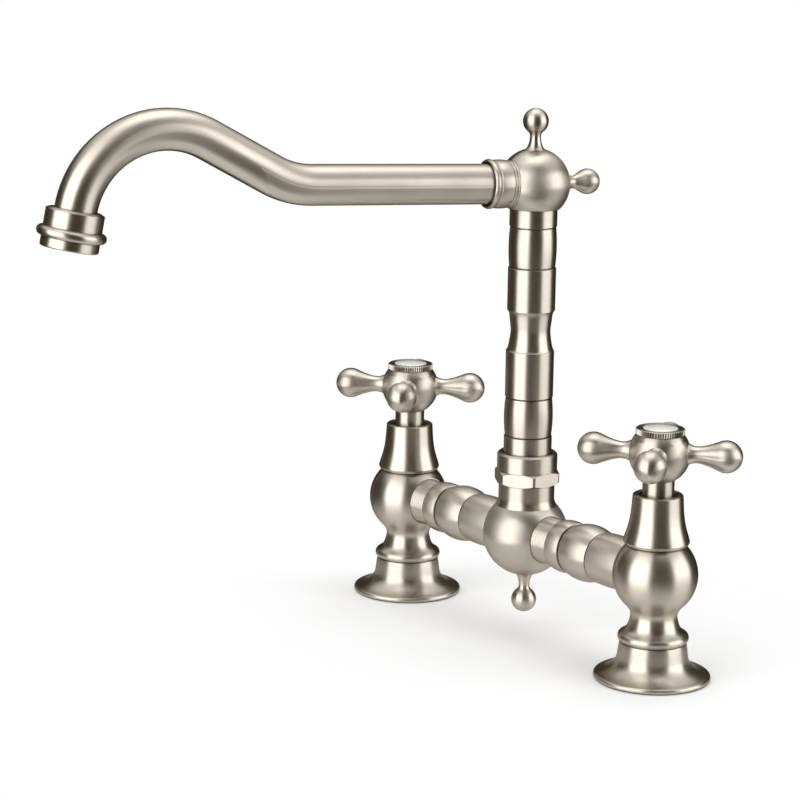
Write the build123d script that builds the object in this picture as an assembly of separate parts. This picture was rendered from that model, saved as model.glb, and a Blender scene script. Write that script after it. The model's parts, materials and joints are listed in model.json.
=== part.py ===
from build123d import *
from math import cos, pi, radians, sin, sqrt
import os

# Bridge kitchen tap: two turned pillars with cross handles, a bridge between
# them, and a riser in the middle that carries a swivelling swan-neck spout.
# Millimetres and degrees. +Z is up, X runs along the bridge, and the user
# stands at -Y. The origin is on the deck, midway between the two pillars.
# The hot pillar is at -X, on the user's left, and the cold pillar is at +X.

# ------------------------------------------------------ clearances and edges
THREAD_GAP = 0.05        # between a screwed or pressed piece and its hole
RUNNING_GAP = 0.05       # between a turning shaft and its bearing
FACE_GAP = 0.05          # between flat faces that slide on each other
RING_GAP = 0.03          # around an O-ring in its groove
FREE_GAP = 0.3           # around a turning piece that touches nothing
END_GAP = 0.4            # past the end of a spigot or screw in its hole
OVERCUT = 1.0            # how far a cut runs past the face that it opens
EDGE = 0.4               # broken edge on a turned shoulder
NOTCH_W = 0.9            # width of a decorative groove
ORING_T = 1.8            # width of every O-ring's groove
ORING_DEPTH = 1.4

# --------------------------------------------------------------- the pillars
PILLAR_SPACING = 180.0   # between the two inlets
BRIDGE_Z = 49.6          # height of the bridge's axis above the deck

FLANGE_R = 27.2          # foot flange that stands on the deck
FLANGE_LIP = 2.7         # thickness of the flange's rounded edge
FOOT_H = 17.9            # deck to the top of the foot
FOOT_TOP_R = 15.5
FOOT_WAIST_R = 17.9      # where the foot's cone meets its flare
FOOT_WAIST_Z = 7.2
FLARE_HOLLOW = 0.62      # how hollow the flare is, from 0.5 for a straight one
INLET_R = 9.32           # half-inch inlet thread, at its crests
INLET_DEPTH = 11.0
WATERWAY_R = 6.0         # bore from the inlet up into the pillar
FOOT_SPIGOT_R = 9.6      # threaded spigot that carries the pillar
FOOT_SPIGOT_H = 7.0
GASKET_W = 7.0           # rubber ring under the foot
GASKET_MARGIN = 4.2      # from the flange's edge in to the rubber ring
GASKET_T = 1.8
GASKET_REST = 0.1        # how far the ring lies above the deck in its groove

BEAD_R = 16.5            # bead at the bottom of the pillar's body
BEAD_H = 4.2
NECK_R = 11.4
NECK_Z = 27.4
BULB_R = 19.7
BULB_LOW_Z = 35.4        # where the bulb runs into the cove below it
BODY_TOP_Z = 64.3
SPIGOT_H = 6.0           # threaded spigot for the bonnet, above the bulb
SPIGOT_WALL = 2.0

BONNET_R_LOW = 15.3      # bonnet's bottom edge
BONNET_R_TOP = 11.6
BONNET_H = 23.3
BONNET_FOOT_H = 1.4      # its rounded bottom edge
BONNET_WALL = 1.6
BONNET_MOUTH_R = 8.9     # opening around the handle's stem

# ----------------------------------------------------------- the valve inside
VALVE_BORE_R = 10.3      # bore for the quarter-turn valve
VALVE_SEAT_Z = 43.5      # bottom of that bore
VALVE_BARREL_R = 8.3
VALVE_CHAMBER_R = 6.9    # holds the ceramic discs
VALVE_THREAD_H = 9.0
VALVE_HEX_AF = 19.0
VALVE_HEX_H = 4.5
VALVE_NECK_R = 6.2
VALVE_NECK_H = 4.0
VALVE_WINDOW_W = 7.0     # side windows that let the water out
SEAL_H = 3.4             # rubber seal under the valve
SEAL_LIP = 0.8           # how far the seal stands out of the barrel
SEAL_BORE_R = 5.8
DISC_R = 6.6
DISC_T = 2.6
DISC_OPENING_R = 5.6
DISC_OPENING_ANGLE = 66.0
DISC_WEB_R = 1.5
DISC_CLOSED_TURN = 45.0  # upper disc's openings, from the handle's first arm
SPINDLE_R = 4.0
SPINDLE_GROOVE_DEPTH = 0.9
DRIVE_FLANGE_R = 6.4     # spindle flange that turns the upper disc
DRIVE_FLANGE_T = 2.2
DRIVE_KEY_W = 3.0        # key under that flange, in a slot across the disc
DRIVE_KEY_H = 1.0
CLIP_R = 5.6             # split clip on top of the valve's neck
CLIP_T = 0.8
CLIP_DEPTH = 0.6
CLIP_SLOT = 3.0

# ---------------------------------------------------------- the cross handles
HANDLE_LIFT = 19.1       # bonnet's top to the centre of the hub
HUB_R = 14.2
HUB_CROWN_H = 9.1        # flat on top of the hub, above its centre
STEM_R = 7.3             # sleeve between the hub and the bonnet
STEM_WALL = 1.4
STEM_DEPTH = 5.0         # length of the sleeve inside the bonnet
HANDLE_REACH = 30.4      # axis to the centre of each end ball
ARM_RISE = 0.5           # arms' axis above the hub's centre
ARM_ROOT_R = 5.0
ARM_NECK_R = 3.9
ARM_NECK_AT = 16.6       # narrowest place, from the axis
ARM_FLARE_AT = 22.6      # half way up the swelling towards the ball
ARM_FLARE_R = 5.0
ARM_BALL_R = 7.5
ARM_BALL_JOIN_R = 6.9    # where the arm runs into its ball
HOT_HANDLE_TURN = 42.7   # how the handles stand, from +X
COLD_HANDLE_TURN = 37.6
HANDLE_SCREW_R = 2.0
HANDLE_SCREW_HEAD_R = 4.1
HANDLE_SCREW_HEAD_H = 2.6
HANDLE_SCREW_DEPTH = 8.0
HANDLE_SCREW_KEY_R = 1.8
HANDLE_SCREW_KEY_DEPTH = 1.4
HANDLE_WEB_T = 3.0       # metal between the spindle's end and the screw head
CAP_R = 11.3             # knurled ring on top of the hub
CAP_H = 2.8
CAP_BEVEL_R = 0.5        # bevel around the ring's top
CAP_BEVEL_H = 0.4
CAP_SPIGOT_R = 8.6
CAP_SPIGOT_H = 3.0
CAP_SPIGOT_WALL = 1.8
CAP_TEETH = 60
CAP_TOOTH_DEPTH = 0.5
INDEX_R = 8.0            # porcelain disc in the ring
INDEX_SEAT = 1.6         # depth of its recess
INDEX_DOME = 0.9

# ----------------------------------------------------------- the bridge's arms
ARM_SEAT_R = 12.0        # flat that each arm's end butts on
ARM_COLLAR_R = 11.6
ARM_COLLAR_L = 9.6
ARM_COLLAR_WAIST_R = 11.2
ARM_COLLAR_RIDGES = 6    # fine turned ridges round the collar
ARM_RIDGE_DEPTH = 0.3
ARM_BAND_L = 9.6         # ring band between the collar and the bulge
ARM_BAND_R = 12.7
ARM_BAND_EDGE_R = 12.1
ARM_BULGE_L = 18.8
ARM_BULGE_R = 13.7
ARM_BULGE_EDGE_R = 11.8
ARM_SLEEVE_R = 12.5      # sleeve that narrows a little to the arm's end
ARM_SLEEVE_EDGE_R = 12.1
ARM_SLEEVE_END_R = 11.7
ARM_NOTCH_R = 10.7
ARM_BORE_R = 5.5
ARM_SPIGOT_R = 8.6
ARM_SPIGOT_L = 4.6

# ------------------------------------------------------------- the middle body
MIDDLE_R = 20.6          # ball in the middle of the bridge
MIDDLE_NECK_R = 13.5
MIDDLE_FLARE_R = 14.7    # foot of the neck, on the ball
MIDDLE_FLARE_H = 4.0
MIDDLE_NECK_Z = 75.0     # shoulder under the union nut
MIDDLE_THREAD_R = 12.9
MIDDLE_TOP_Z = 82.6
MIDDLE_BORE_R = 7.0
SOCKET_R = 9.45          # bearing bore for the riser's shank
SOCKET_DEPTH = 17.0

NUT_AF = 28.5
NUT_H = 6.6              # hexagon
NUT_TURN = 31.0
NUT_CORNER_R = 16.1      # its corners are turned off to this radius
NUT_CHAMFER_RISE = 0.6   # chamfer's height for each unit of its width
NUT_COLLAR_R = 14.5
NUT_RIM = 0.9            # bevel around the collar's top
NUT_TOP_Z = 90.2
NUT_MOUTH_R = 12.3       # opening around the riser
NUT_LIP_T = 1.6          # inner lip that holds the riser down
NUT_LIP_R = 9.75

# -------------------------------------------------------------------- the riser
RISER_BORE_R = 6.0
SHANK_END_GAP = 1.0      # between the shank's end and the socket's floor
WASHER_T = 0.6
RETAINER_R = 11.6        # split ring on the shank, under the nut's lip
RETAINER_T = 1.8
RETAINER_GROOVE_R = 8.2
RETAINER_SLOT = 6.0
RISER_FOOT_R = 11.55     # lowest collar, which stands in the nut
RISER_FOOT_TOP_Z = 98.1
RISER_LOW_BARREL_TOP_Z = 116.9
RISER_LOW_BARREL_R = 11.75
RISER_LOW_BARREL_END_R = 11.2
RISER_SLEEVE_R = 11.55   # plain stretches above and below the waist
RISER_WAIST_LOW_Z = 140.4
RISER_WAIST_Z = 149.8
RISER_WAIST_TOP_Z = 159.3
RISER_WAIST_R = 9.5
RISER_UPPER_SLEEVE_R = 11.45
RISER_UPPER_SLEEVE_TOP_Z = 180.0
RISER_HIGH_BARREL_TOP_Z = 199.2
RISER_HIGH_BARREL_R = 11.45
RISER_HIGH_BARREL_END_R = 11.0
RISER_TOP_R = 11.35
RISER_NOTCH_R = 10.6

# --------------------------------------------------------------- head and spout
HEAD_Z = 219.9           # centre of the ball on top of the riser
HEAD_R = 17.0
HEAD_SEAT_R = 12.6       # flat on which the riser's top butts
HEAD_SPIGOT_R = 8.6
HEAD_SPIGOT_H = 3.4
HEAD_CAVITY_R = 6.0
SPOUT_TURN = -104.0      # which way the spout points, from +X
SPOUT_RISE = 2.2         # slope of its straight stretch
TUBE_R = 9.5             # 19 mm tube
TUBE_WALL = 1.2
TUBE_START = 15.0        # distance from the head's centre to the tube's end
FIRST_BEND_AT = 114.4    # distance from the head's centre to the first bend
FIRST_BEND_R = 44.0
FIRST_BEND_TURN = 26.9
INCLINE_L = 34.6
HUMP_R = 42.0
HUMP_TURN = 108.0
TUBE_TAIL = 9.0          # straight end inside the outlet collar

COLLAR_END = 25.6        # mouth of the spout's collar, from the head's centre
COLLAR_SEAT_R = 11.2
COLLAR_RING_R = 11.2
COLLAR_BAND_L = 7.0
COLLAR_BAND_R = 11.5
COLLAR_BEAD_L = 2.8
COLLAR_BEAD_R = 11.7
COLLAR_NOTCH_R = 10.8
COLLAR_MOUTH_R = 10.4
COLLAR_MOUTH_DEPTH = 2.2
COLLAR_MOUTH_EDGE = 0.35
COLLAR_SPIGOT_R = 7.6
COLLAR_SPIGOT_L = 3.6

FINIAL_BALL_R = 6.1
FINIAL_BALL_H = 13.4     # seat to the centre of the ball
FINIAL_BALL_JOIN_R = 3.7
FINIAL_NECK_R = 2.7
FINIAL_NECK_H = 4.6
SIDE_FINIAL_BALL_H = 12.1
SIDE_FINIAL_JOIN_R = 5.3 # its neck swells into the ball like a pear
SIDE_FINIAL_NECK_R = 3.2
SIDE_FINIAL_NECK_H = 2.8
FINIAL_SEAT_R = 5.0
FINIAL_STUD_R = 2.0
FINIAL_STUD_L = 5.0

OUTLET_R = 13.1          # collar on the spout's end
OUTLET_SHOULDER_BEVEL = 0.8
OUTLET_COLLAR_L = 8.4
OUTLET_BEAD_R = 15.6
OUTLET_BEAD_L = 4.6
OUTLET_BORE_R = 8.0
OUTLET_WEB_T = 1.0       # inner shoulder between the tube and the aerator
AERATOR_L = 4.5          # visible ring of the aerator
AERATOR_THREAD_R = 11.5
AERATOR_THREAD_L = 2.6
AERATOR_WASHER_W = 2.6
AERATOR_BORE_R = 10.2
AERATOR_LIP_R = 9.2
AERATOR_LIP_T = 0.8
AERATOR_EDGE = 0.5
AERATOR_HOLE_R = 0.85
AERATOR_HOLE_PITCH = 2.45
AERATOR_HOLE_ROWS = 3    # rows on each side of the middle one

# ------------------------------------------------------------ places worked out
PILLAR_X = PILLAR_SPACING / 2
GASKET_R_OUT = FLANGE_R - GASKET_MARGIN
GASKET_R_IN = GASKET_R_OUT - GASKET_W
MIDDLE_SEAT_X = sqrt(MIDDLE_R**2 - ARM_SEAT_R**2)
BULB_SEAT_X = sqrt(BULB_R**2 - ARM_SEAT_R**2)
ARM_L = PILLAR_X - MIDDLE_SEAT_X - BULB_SEAT_X
BONNET_TOP_Z = BODY_TOP_Z + BONNET_H
HANDLE_Z = BONNET_TOP_Z + HANDLE_LIFT
HUB_TOP_Z = HANDLE_Z + HUB_CROWN_H
VALVE_HEX_Z = BODY_TOP_Z + SPIGOT_H
VALVE_NECK_TOP_Z = VALVE_HEX_Z + VALVE_HEX_H + VALVE_NECK_H
BARREL_Z = VALVE_SEAT_Z + SEAL_LIP
FIXED_DISC_Z = VALVE_SEAT_Z + SEAL_H
MOVING_DISC_Z = FIXED_DISC_Z + DISC_T + FACE_GAP
DRIVE_Z = MOVING_DISC_Z + DISC_T + FACE_GAP
CHAMBER_TOP_Z = DRIVE_Z + DRIVE_FLANGE_T + FREE_GAP
SPINDLE_ORING_Z = (VALVE_HEX_Z - ORING_T, VALVE_HEX_Z + 2 * ORING_T)
CLIP_Z = VALVE_NECK_TOP_Z + FACE_GAP
HUB_BOTTOM_Z = HANDLE_Z - sqrt(HUB_R**2 - STEM_R**2)
STEM_BOTTOM_Z = BONNET_TOP_Z - STEM_DEPTH
CAP_BORE_Z = HUB_TOP_Z - CAP_SPIGOT_H
SCREW_HEAD_Z = CAP_BORE_Z - HANDLE_SCREW_HEAD_H - FREE_GAP
SPINDLE_TOP_Z = SCREW_HEAD_Z - HANDLE_WEB_T
CAP_TOP_Z = HUB_TOP_Z + CAP_H
INDEX_Z = CAP_TOP_Z - INDEX_SEAT
RETAINER_Z = MIDDLE_TOP_Z + FREE_GAP
NUT_LIP_Z = RETAINER_Z + RETAINER_T + FREE_GAP
RISER_SHOULDER_Z = NUT_LIP_Z + NUT_LIP_T + WASHER_T + FACE_GAP
SHANK_R = SOCKET_R - RUNNING_GAP
SOCKET_FLOOR_Z = MIDDLE_TOP_Z - SOCKET_DEPTH
SHANK_END_Z = SOCKET_FLOOR_Z + SHANK_END_GAP
SHANK_ORING_Z = (SHANK_END_Z + 2 * ORING_T, MIDDLE_TOP_Z - 2 * ORING_T)
ARM_ORING_Z = (-ARM_SPIGOT_L / 2, ARM_L + ARM_SPIGOT_L / 2)
HEAD_SEAT_Z = HEAD_Z - sqrt(HEAD_R**2 - HEAD_SEAT_R**2)
HEAD_FINIAL_SEAT = sqrt(HEAD_R**2 - FINIAL_SEAT_R**2)
MIDDLE_FINIAL_SEAT = sqrt(MIDDLE_R**2 - FINIAL_SEAT_R**2)
COLLAR_SEAT = sqrt(HEAD_R**2 - COLLAR_SEAT_R**2)
OUTLET_L = OUTLET_COLLAR_L + OUTLET_BEAD_L
AERATOR_TOP = OUTLET_L - AERATOR_THREAD_L
AERATOR_END = OUTLET_L + AERATOR_L


# ------------------------------------------------------------------ small tools
class Turning:
    """Half section of a turned piece, drawn as (radius, height) from point to point."""

    def __init__(self, r, z):
        self.start = self.at = Vector(r, 0, z)
        self.edges = []

    def line(self, r, z):
        end = Vector(r, 0, z)
        self.edges.append(Line(self.at, end))
        self.at = end
        return self

    def arc(self, mid_r, mid_z, r, z):
        end = Vector(r, 0, z)
        self.edges.append(ThreePointArc(self.at, Vector(mid_r, 0, mid_z), end))
        self.at = end
        return self

    def barrel(self, mid_r, r, z):
        """Bulging stretch, widest half way along."""
        return self.arc(mid_r, (self.at.Z + z) / 2, r, z)

    def groove(self, bottom_r, r):
        """Decorative V groove, out to the next stretch."""
        self.line(bottom_r, self.at.Z + NOTCH_W / 2)
        return self.line(r, self.at.Z + NOTCH_W / 2)

    def curve(self, *points, tangents):
        ends = [Vector(r, 0, z) for r, z in points]
        slopes = [Vector(r, 0, z) for r, z in tangents]
        self.edges.append(Spline(self.at, *ends, tangents=slopes))
        self.at = ends[-1]
        return self

    def dome(self, top):
        """Spherical cap from here up to the axis."""
        r = self.at.X
        rise = top - self.at.Z
        radius = (r**2 + rise**2) / (2 * rise)
        mid_r = r / 2
        return self.arc(mid_r, top - radius + sqrt(radius**2 - mid_r**2), 0, top)

    def solid(self):
        if (self.at - self.start).length > 0:
            self.edges.append(Line(self.at, self.start))
        return revolve(Face(Wire(self.edges)), Axis.Z)


def rod(radius, low, high):
    return Pos(0, 0, low) * Cylinder(radius, high - low, align=(Align.CENTER, Align.CENTER, Align.MIN))


def ring(outer, inner, low, high):
    return rod(outer, low, high) - rod(inner, low, high)


def hexagon(across_flats, low, high):
    """Hexagonal prism with chamfered corners."""
    corner = across_flats / sqrt(3)
    flat = across_flats / 2
    drop = (corner - flat) * NUT_CHAMFER_RISE
    prism = Pos(0, 0, low) * extrude(RegularPolygon(corner, 6), high - low)
    crown = Turning(0, low).line(flat, low).line(corner, low + drop)
    crown.line(corner, high - drop).line(flat, high).line(0, high)
    return prism & crown.solid()


def split_ring(outer, inner, low, high, slot):
    gap = Pos(outer / 2, 0, (low + high) / 2) * Box(outer, slot, high - low)
    return ring(outer, inner, low, high) - gap


def along_x(x):
    """Turns a piece made along Z so that it lies along +X on the bridge's axis."""
    return Pos(x, 0, BRIDGE_Z) * Rot(0, 90, 0)


def o_rings(bore_r, groove_r, heights):
    """O-rings that fill their grooves between a shaft and its bore."""
    inner = groove_r + RING_GAP
    cord = (bore_r - RING_GAP - inner) / 2
    return Part() + [Pos(0, 0, z) * Torus(inner + cord, cord) for z in heights]


def o_ring_grooves(outer, groove_r, heights):
    half = ORING_T / 2
    return [ring(outer + OVERCUT, groove_r, z - half, z + half) for z in heights]


# ------------------------------------------------------------------- the pillars
def foot():
    """Flared foot with the threaded inlet below and the pillar's spigot above."""
    lip = FLANGE_LIP
    edge_r = FLANGE_R - lip / 2
    mid_r = FOOT_WAIST_R * FLARE_HOLLOW + edge_r * (1 - FLARE_HOLLOW)
    mid_z = lip * FLARE_HOLLOW + FOOT_WAIST_Z * (1 - FLARE_HOLLOW)
    shape = Turning(0, 0).line(edge_r, 0)
    shape.arc(FLANGE_R, lip / 2, edge_r, lip)
    shape.curve(
        (mid_r, mid_z),
        (FOOT_WAIST_R, FOOT_WAIST_Z),
        (FOOT_TOP_R, FOOT_H - EDGE),
        tangents=[(-1, 0.15), (-0.2, 1)],
    )
    shape.line(FOOT_TOP_R - EDGE, FOOT_H).line(0, FOOT_H)
    body = shape.solid() + rod(FOOT_SPIGOT_R, FOOT_H, FOOT_H + FOOT_SPIGOT_H)
    body -= rod(WATERWAY_R, 0, FOOT_H + FOOT_SPIGOT_H)
    body -= rod(INLET_R, 0, INLET_DEPTH)
    return body - ring(GASKET_R_OUT + RING_GAP, GASKET_R_IN - RING_GAP, 0, GASKET_T)


def foot_gasket():
    return ring(GASKET_R_OUT, GASKET_R_IN, GASKET_REST, GASKET_T)


def pillar_body():
    """Turned body: bead, neck and bulb, with the valve's bore inside."""
    bead_low_r = FOOT_TOP_R - EDGE / 2
    bead_top = FOOT_H + BEAD_H
    cove_z = (bead_top + NECK_Z) / 2
    cove_r = NECK_R + (bead_low_r - NECK_R) / 4
    drop = BRIDGE_Z - BULB_LOW_Z
    low_r = sqrt(BULB_R**2 - drop**2)
    rise = BODY_TOP_Z - BRIDGE_Z
    top_r = sqrt(BULB_R**2 - rise**2)
    spigot_r = VALVE_BORE_R + SPIGOT_WALL
    shape = Turning(0, FOOT_H).line(bead_low_r, FOOT_H).barrel(BEAD_R, bead_low_r, bead_top)
    shape.curve(
        (cove_r, cove_z),
        (NECK_R, NECK_Z),
        (low_r, BULB_LOW_Z),
        tangents=[(-1, 0.5), (drop, low_r)],
    )
    shape.arc(BULB_R, BRIDGE_Z, top_r, BODY_TOP_Z)
    shape.line(spigot_r, BODY_TOP_Z).line(spigot_r, VALVE_HEX_Z).line(0, VALVE_HEX_Z)
    body = shape.solid()
    body -= rod(FOOT_SPIGOT_R + THREAD_GAP, FOOT_H, FOOT_H + FOOT_SPIGOT_H + END_GAP)
    body -= rod(WATERWAY_R, FOOT_H, VALVE_SEAT_Z)
    body -= rod(VALVE_BORE_R + THREAD_GAP, VALVE_SEAT_Z, VALVE_HEX_Z)
    return body - port_cut(BULB_SEAT_X, ARM_BORE_R)


def port_cut(seat_x, bore_r):
    """Flat seat and socket for one arm, on the +X side of a ball or bulb."""
    flat = rod(ARM_SEAT_R + OVERCUT, 0, ARM_SEAT_R)
    socket = rod(ARM_SPIGOT_R + THREAD_GAP, -ARM_SPIGOT_L - END_GAP, 0)
    return along_x(seat_x) * (flat + socket + rod(bore_r, -seat_x, 0))


def bonnet():
    """Bell-shaped cover, screwed on over the valve."""
    low = BODY_TOP_Z
    spread = BONNET_R_LOW - BONNET_R_TOP
    shape = Turning(BONNET_R_LOW - BONNET_FOOT_H, low)
    shape.line(BONNET_R_LOW - BONNET_FOOT_H / 2, low)
    shape.line(BONNET_R_LOW, low + BONNET_FOOT_H)
    shape.curve(
        (BONNET_R_TOP + 0.6 * spread, low + 0.275 * BONNET_H),
        (BONNET_R_TOP + 0.2 * spread, low + 0.575 * BONNET_H),
        (BONNET_R_TOP, BONNET_TOP_Z - EDGE),
        tangents=[(-0.2, 1), (-0.08, 1)],
    )
    shape.line(BONNET_R_TOP - EDGE, BONNET_TOP_Z)
    shape.line(BONNET_MOUTH_R, BONNET_TOP_Z)
    shape.line(BONNET_MOUTH_R, BONNET_TOP_Z - BONNET_WALL)
    shape.line(BONNET_R_TOP - BONNET_WALL, BONNET_TOP_Z - 2 * BONNET_WALL)
    hex_room_r = VALVE_HEX_AF / sqrt(3) + FREE_GAP
    shape.line(hex_room_r, VALVE_HEX_Z + VALVE_HEX_H + END_GAP)
    spigot_r = VALVE_BORE_R + SPIGOT_WALL + THREAD_GAP
    shape.line(spigot_r, VALVE_HEX_Z + END_GAP).line(spigot_r, low)
    return shape.solid()


# ------------------------------------------------------------ the valve's pieces
def valve_cartridge():
    """Brass valve body: barrel with side windows, thread, hexagon and neck."""
    thread_low = VALVE_HEX_Z - VALVE_THREAD_H
    body = rod(VALVE_BARREL_R, BARREL_Z, thread_low)
    body += rod(VALVE_BORE_R, thread_low, VALVE_HEX_Z)
    body += hexagon(VALVE_HEX_AF, VALVE_HEX_Z, VALVE_HEX_Z + VALVE_HEX_H)
    body += rod(VALVE_NECK_R, VALVE_HEX_Z, VALVE_NECK_TOP_Z)
    body -= rod(VALVE_CHAMBER_R, BARREL_Z, CHAMBER_TOP_Z)
    body -= rod(SPINDLE_R + RUNNING_GAP, BARREL_Z, VALVE_NECK_TOP_Z)
    window_h = DRIVE_Z + DRIVE_FLANGE_T - MOVING_DISC_Z
    window = Box(2 * (VALVE_BARREL_R + OVERCUT), VALVE_WINDOW_W, window_h)
    return body - Pos(0, 0, MOVING_DISC_Z + window_h / 2) * window


def valve_seal():
    """Rubber seal between the valve and its seat."""
    return ring(VALVE_CHAMBER_R - RING_GAP, SEAL_BORE_R, VALVE_SEAT_Z, FIXED_DISC_Z)


def disc(low, turn):
    """Ceramic disc with two opposite openings."""
    high = low + DISC_T
    half = radians(DISC_OPENING_ANGLE / 2)
    far = 2 * DISC_R
    edge = Vector(far * cos(half), far * sin(half))
    wedge = make_face(Polyline((0, 0), edge, Vector(edge.X, -edge.Y), close=True))
    opening = ring(DISC_OPENING_R, DISC_WEB_R, low, high) & (Pos(0, 0, low) * extrude(wedge, DISC_T))
    body = rod(DISC_R, low, high)
    for side in (0, 180):
        body -= Rot(0, 0, turn + side) * opening
    return body


def drive_key(width, height):
    """Bar across the top of the upper disc, at right angles to its openings."""
    turn = DISC_CLOSED_TURN + 90
    return Pos(0, 0, DRIVE_Z - height / 2) * Rot(0, 0, turn) * Box(4 * DISC_R, width, height)


def moving_disc():
    slot = drive_key(DRIVE_KEY_W + 2 * THREAD_GAP, DRIVE_KEY_H + FACE_GAP)
    return disc(MOVING_DISC_Z, DISC_CLOSED_TURN) - slot


def spindle():
    """Brass spindle that turns the upper disc and carries the handle."""
    body = rod(SPINDLE_R, DRIVE_Z, SPINDLE_TOP_Z)
    body += rod(DRIVE_FLANGE_R, DRIVE_Z, DRIVE_Z + DRIVE_FLANGE_T)
    body += drive_key(DRIVE_KEY_W, DRIVE_KEY_H) & rod(DRIVE_FLANGE_R, DRIVE_Z - DRIVE_KEY_H, DRIVE_Z)
    body -= o_ring_grooves(SPINDLE_R, SPINDLE_R - SPINDLE_GROOVE_DEPTH, SPINDLE_ORING_Z)
    body -= ring(SPINDLE_R + OVERCUT, SPINDLE_R - CLIP_DEPTH, CLIP_Z, CLIP_Z + CLIP_T + FACE_GAP)
    screw_hole_z = SPINDLE_TOP_Z - HANDLE_SCREW_DEPTH - END_GAP
    return body - rod(HANDLE_SCREW_R + THREAD_GAP, screw_hole_z, SPINDLE_TOP_Z)


def spindle_clip():
    inner = SPINDLE_R - CLIP_DEPTH + RING_GAP
    return split_ring(CLIP_R, inner, CLIP_Z + FACE_GAP, CLIP_Z + CLIP_T, CLIP_SLOT)


def spindle_o_rings():
    return o_rings(SPINDLE_R + RUNNING_GAP, SPINDLE_R - SPINDLE_GROOVE_DEPTH, SPINDLE_ORING_Z)


# ------------------------------------------------------------ the handle's pieces
def handle_arm():
    """One arm, along +X from inside the hub out to its ball."""
    join = sqrt(ARM_BALL_R**2 - ARM_BALL_JOIN_R**2)
    shape = Turning(0, 0).line(ARM_ROOT_R, 0).line(ARM_ROOT_R, HUB_R - OVERCUT)
    shape.curve(
        (ARM_NECK_R, ARM_NECK_AT),
        (ARM_FLARE_R, ARM_FLARE_AT),
        (ARM_BALL_JOIN_R, HANDLE_REACH - join),
        tangents=[(-0.6, 1), (join, ARM_BALL_JOIN_R)],
    )
    shape.arc(ARM_BALL_R, HANDLE_REACH, 0, HANDLE_REACH + ARM_BALL_R)
    return Pos(0, 0, HANDLE_Z + ARM_RISE) * Rot(0, 90, 0) * shape.solid()


def cross_handle():
    """Hub with four arms, bored for the spindle, the screw and the cap ring."""
    hub = Pos(0, 0, HANDLE_Z) * Sphere(HUB_R) & rod(HUB_R, HUB_BOTTOM_Z, HUB_TOP_Z)
    arm = handle_arm()
    for quarter in range(4):
        hub += Rot(0, 0, 90 * quarter) * arm
    hub -= rod(SPINDLE_R + THREAD_GAP, HUB_BOTTOM_Z, SPINDLE_TOP_Z)
    hub -= rod(HANDLE_SCREW_R + FREE_GAP, SPINDLE_TOP_Z, SCREW_HEAD_Z)
    return hub - rod(CAP_SPIGOT_R + THREAD_GAP, SCREW_HEAD_Z, HUB_TOP_Z)


def stem_sleeve():
    """Sleeve that hides the spindle and the valve's neck below the hub."""
    clip_room = CLIP_Z + CLIP_T + 2 * FREE_GAP
    body = ring(STEM_R, SPINDLE_R + THREAD_GAP, STEM_BOTTOM_Z, HUB_BOTTOM_Z)
    return body - rod(STEM_R - STEM_WALL, STEM_BOTTOM_Z, max(clip_room, STEM_BOTTOM_Z + STEM_WALL))


def handle_screw():
    """Screw that holds the hub on the spindle, with a hexagonal key socket."""
    head_top = SCREW_HEAD_Z + HANDLE_SCREW_HEAD_H
    body = rod(HANDLE_SCREW_R, SPINDLE_TOP_Z - HANDLE_SCREW_DEPTH, SCREW_HEAD_Z)
    body += rod(HANDLE_SCREW_HEAD_R, SCREW_HEAD_Z, head_top)
    key = extrude(RegularPolygon(HANDLE_SCREW_KEY_R, 6), HANDLE_SCREW_KEY_DEPTH)
    return body - Pos(0, 0, head_top - HANDLE_SCREW_KEY_DEPTH) * key


def cap_ring():
    """Knurled ring that screws into the hub and holds the index disc."""
    steps = 2 * CAP_TEETH
    outline = []
    for k in range(steps):
        radius = CAP_R - CAP_TOOTH_DEPTH * (k % 2)
        angle = 2 * pi * k / steps
        outline.append((radius * cos(angle), radius * sin(angle)))
    knurl = Pos(0, 0, HUB_TOP_Z) * extrude(make_face(Polyline(*outline, close=True)), CAP_H)
    blank = Turning(0, HUB_TOP_Z).line(CAP_R - EDGE, HUB_TOP_Z).line(CAP_R, HUB_TOP_Z + EDGE)
    blank.line(CAP_R, CAP_TOP_Z - CAP_BEVEL_H).line(CAP_R - CAP_BEVEL_R, CAP_TOP_Z)
    blank.line(0, CAP_TOP_Z)
    body = (knurl & blank.solid()) + rod(CAP_SPIGOT_R, CAP_BORE_Z, HUB_TOP_Z)
    body -= rod(CAP_SPIGOT_R - CAP_SPIGOT_WALL, CAP_BORE_Z, CAP_TOP_Z)
    return body - rod(INDEX_R + FREE_GAP, INDEX_Z, CAP_TOP_Z)


def index_disc():
    """Domed porcelain disc, plain white."""
    shape = Turning(0, INDEX_Z).line(INDEX_R, INDEX_Z).line(INDEX_R, CAP_TOP_Z)
    return shape.dome(CAP_TOP_Z + INDEX_DOME).solid()


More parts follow.
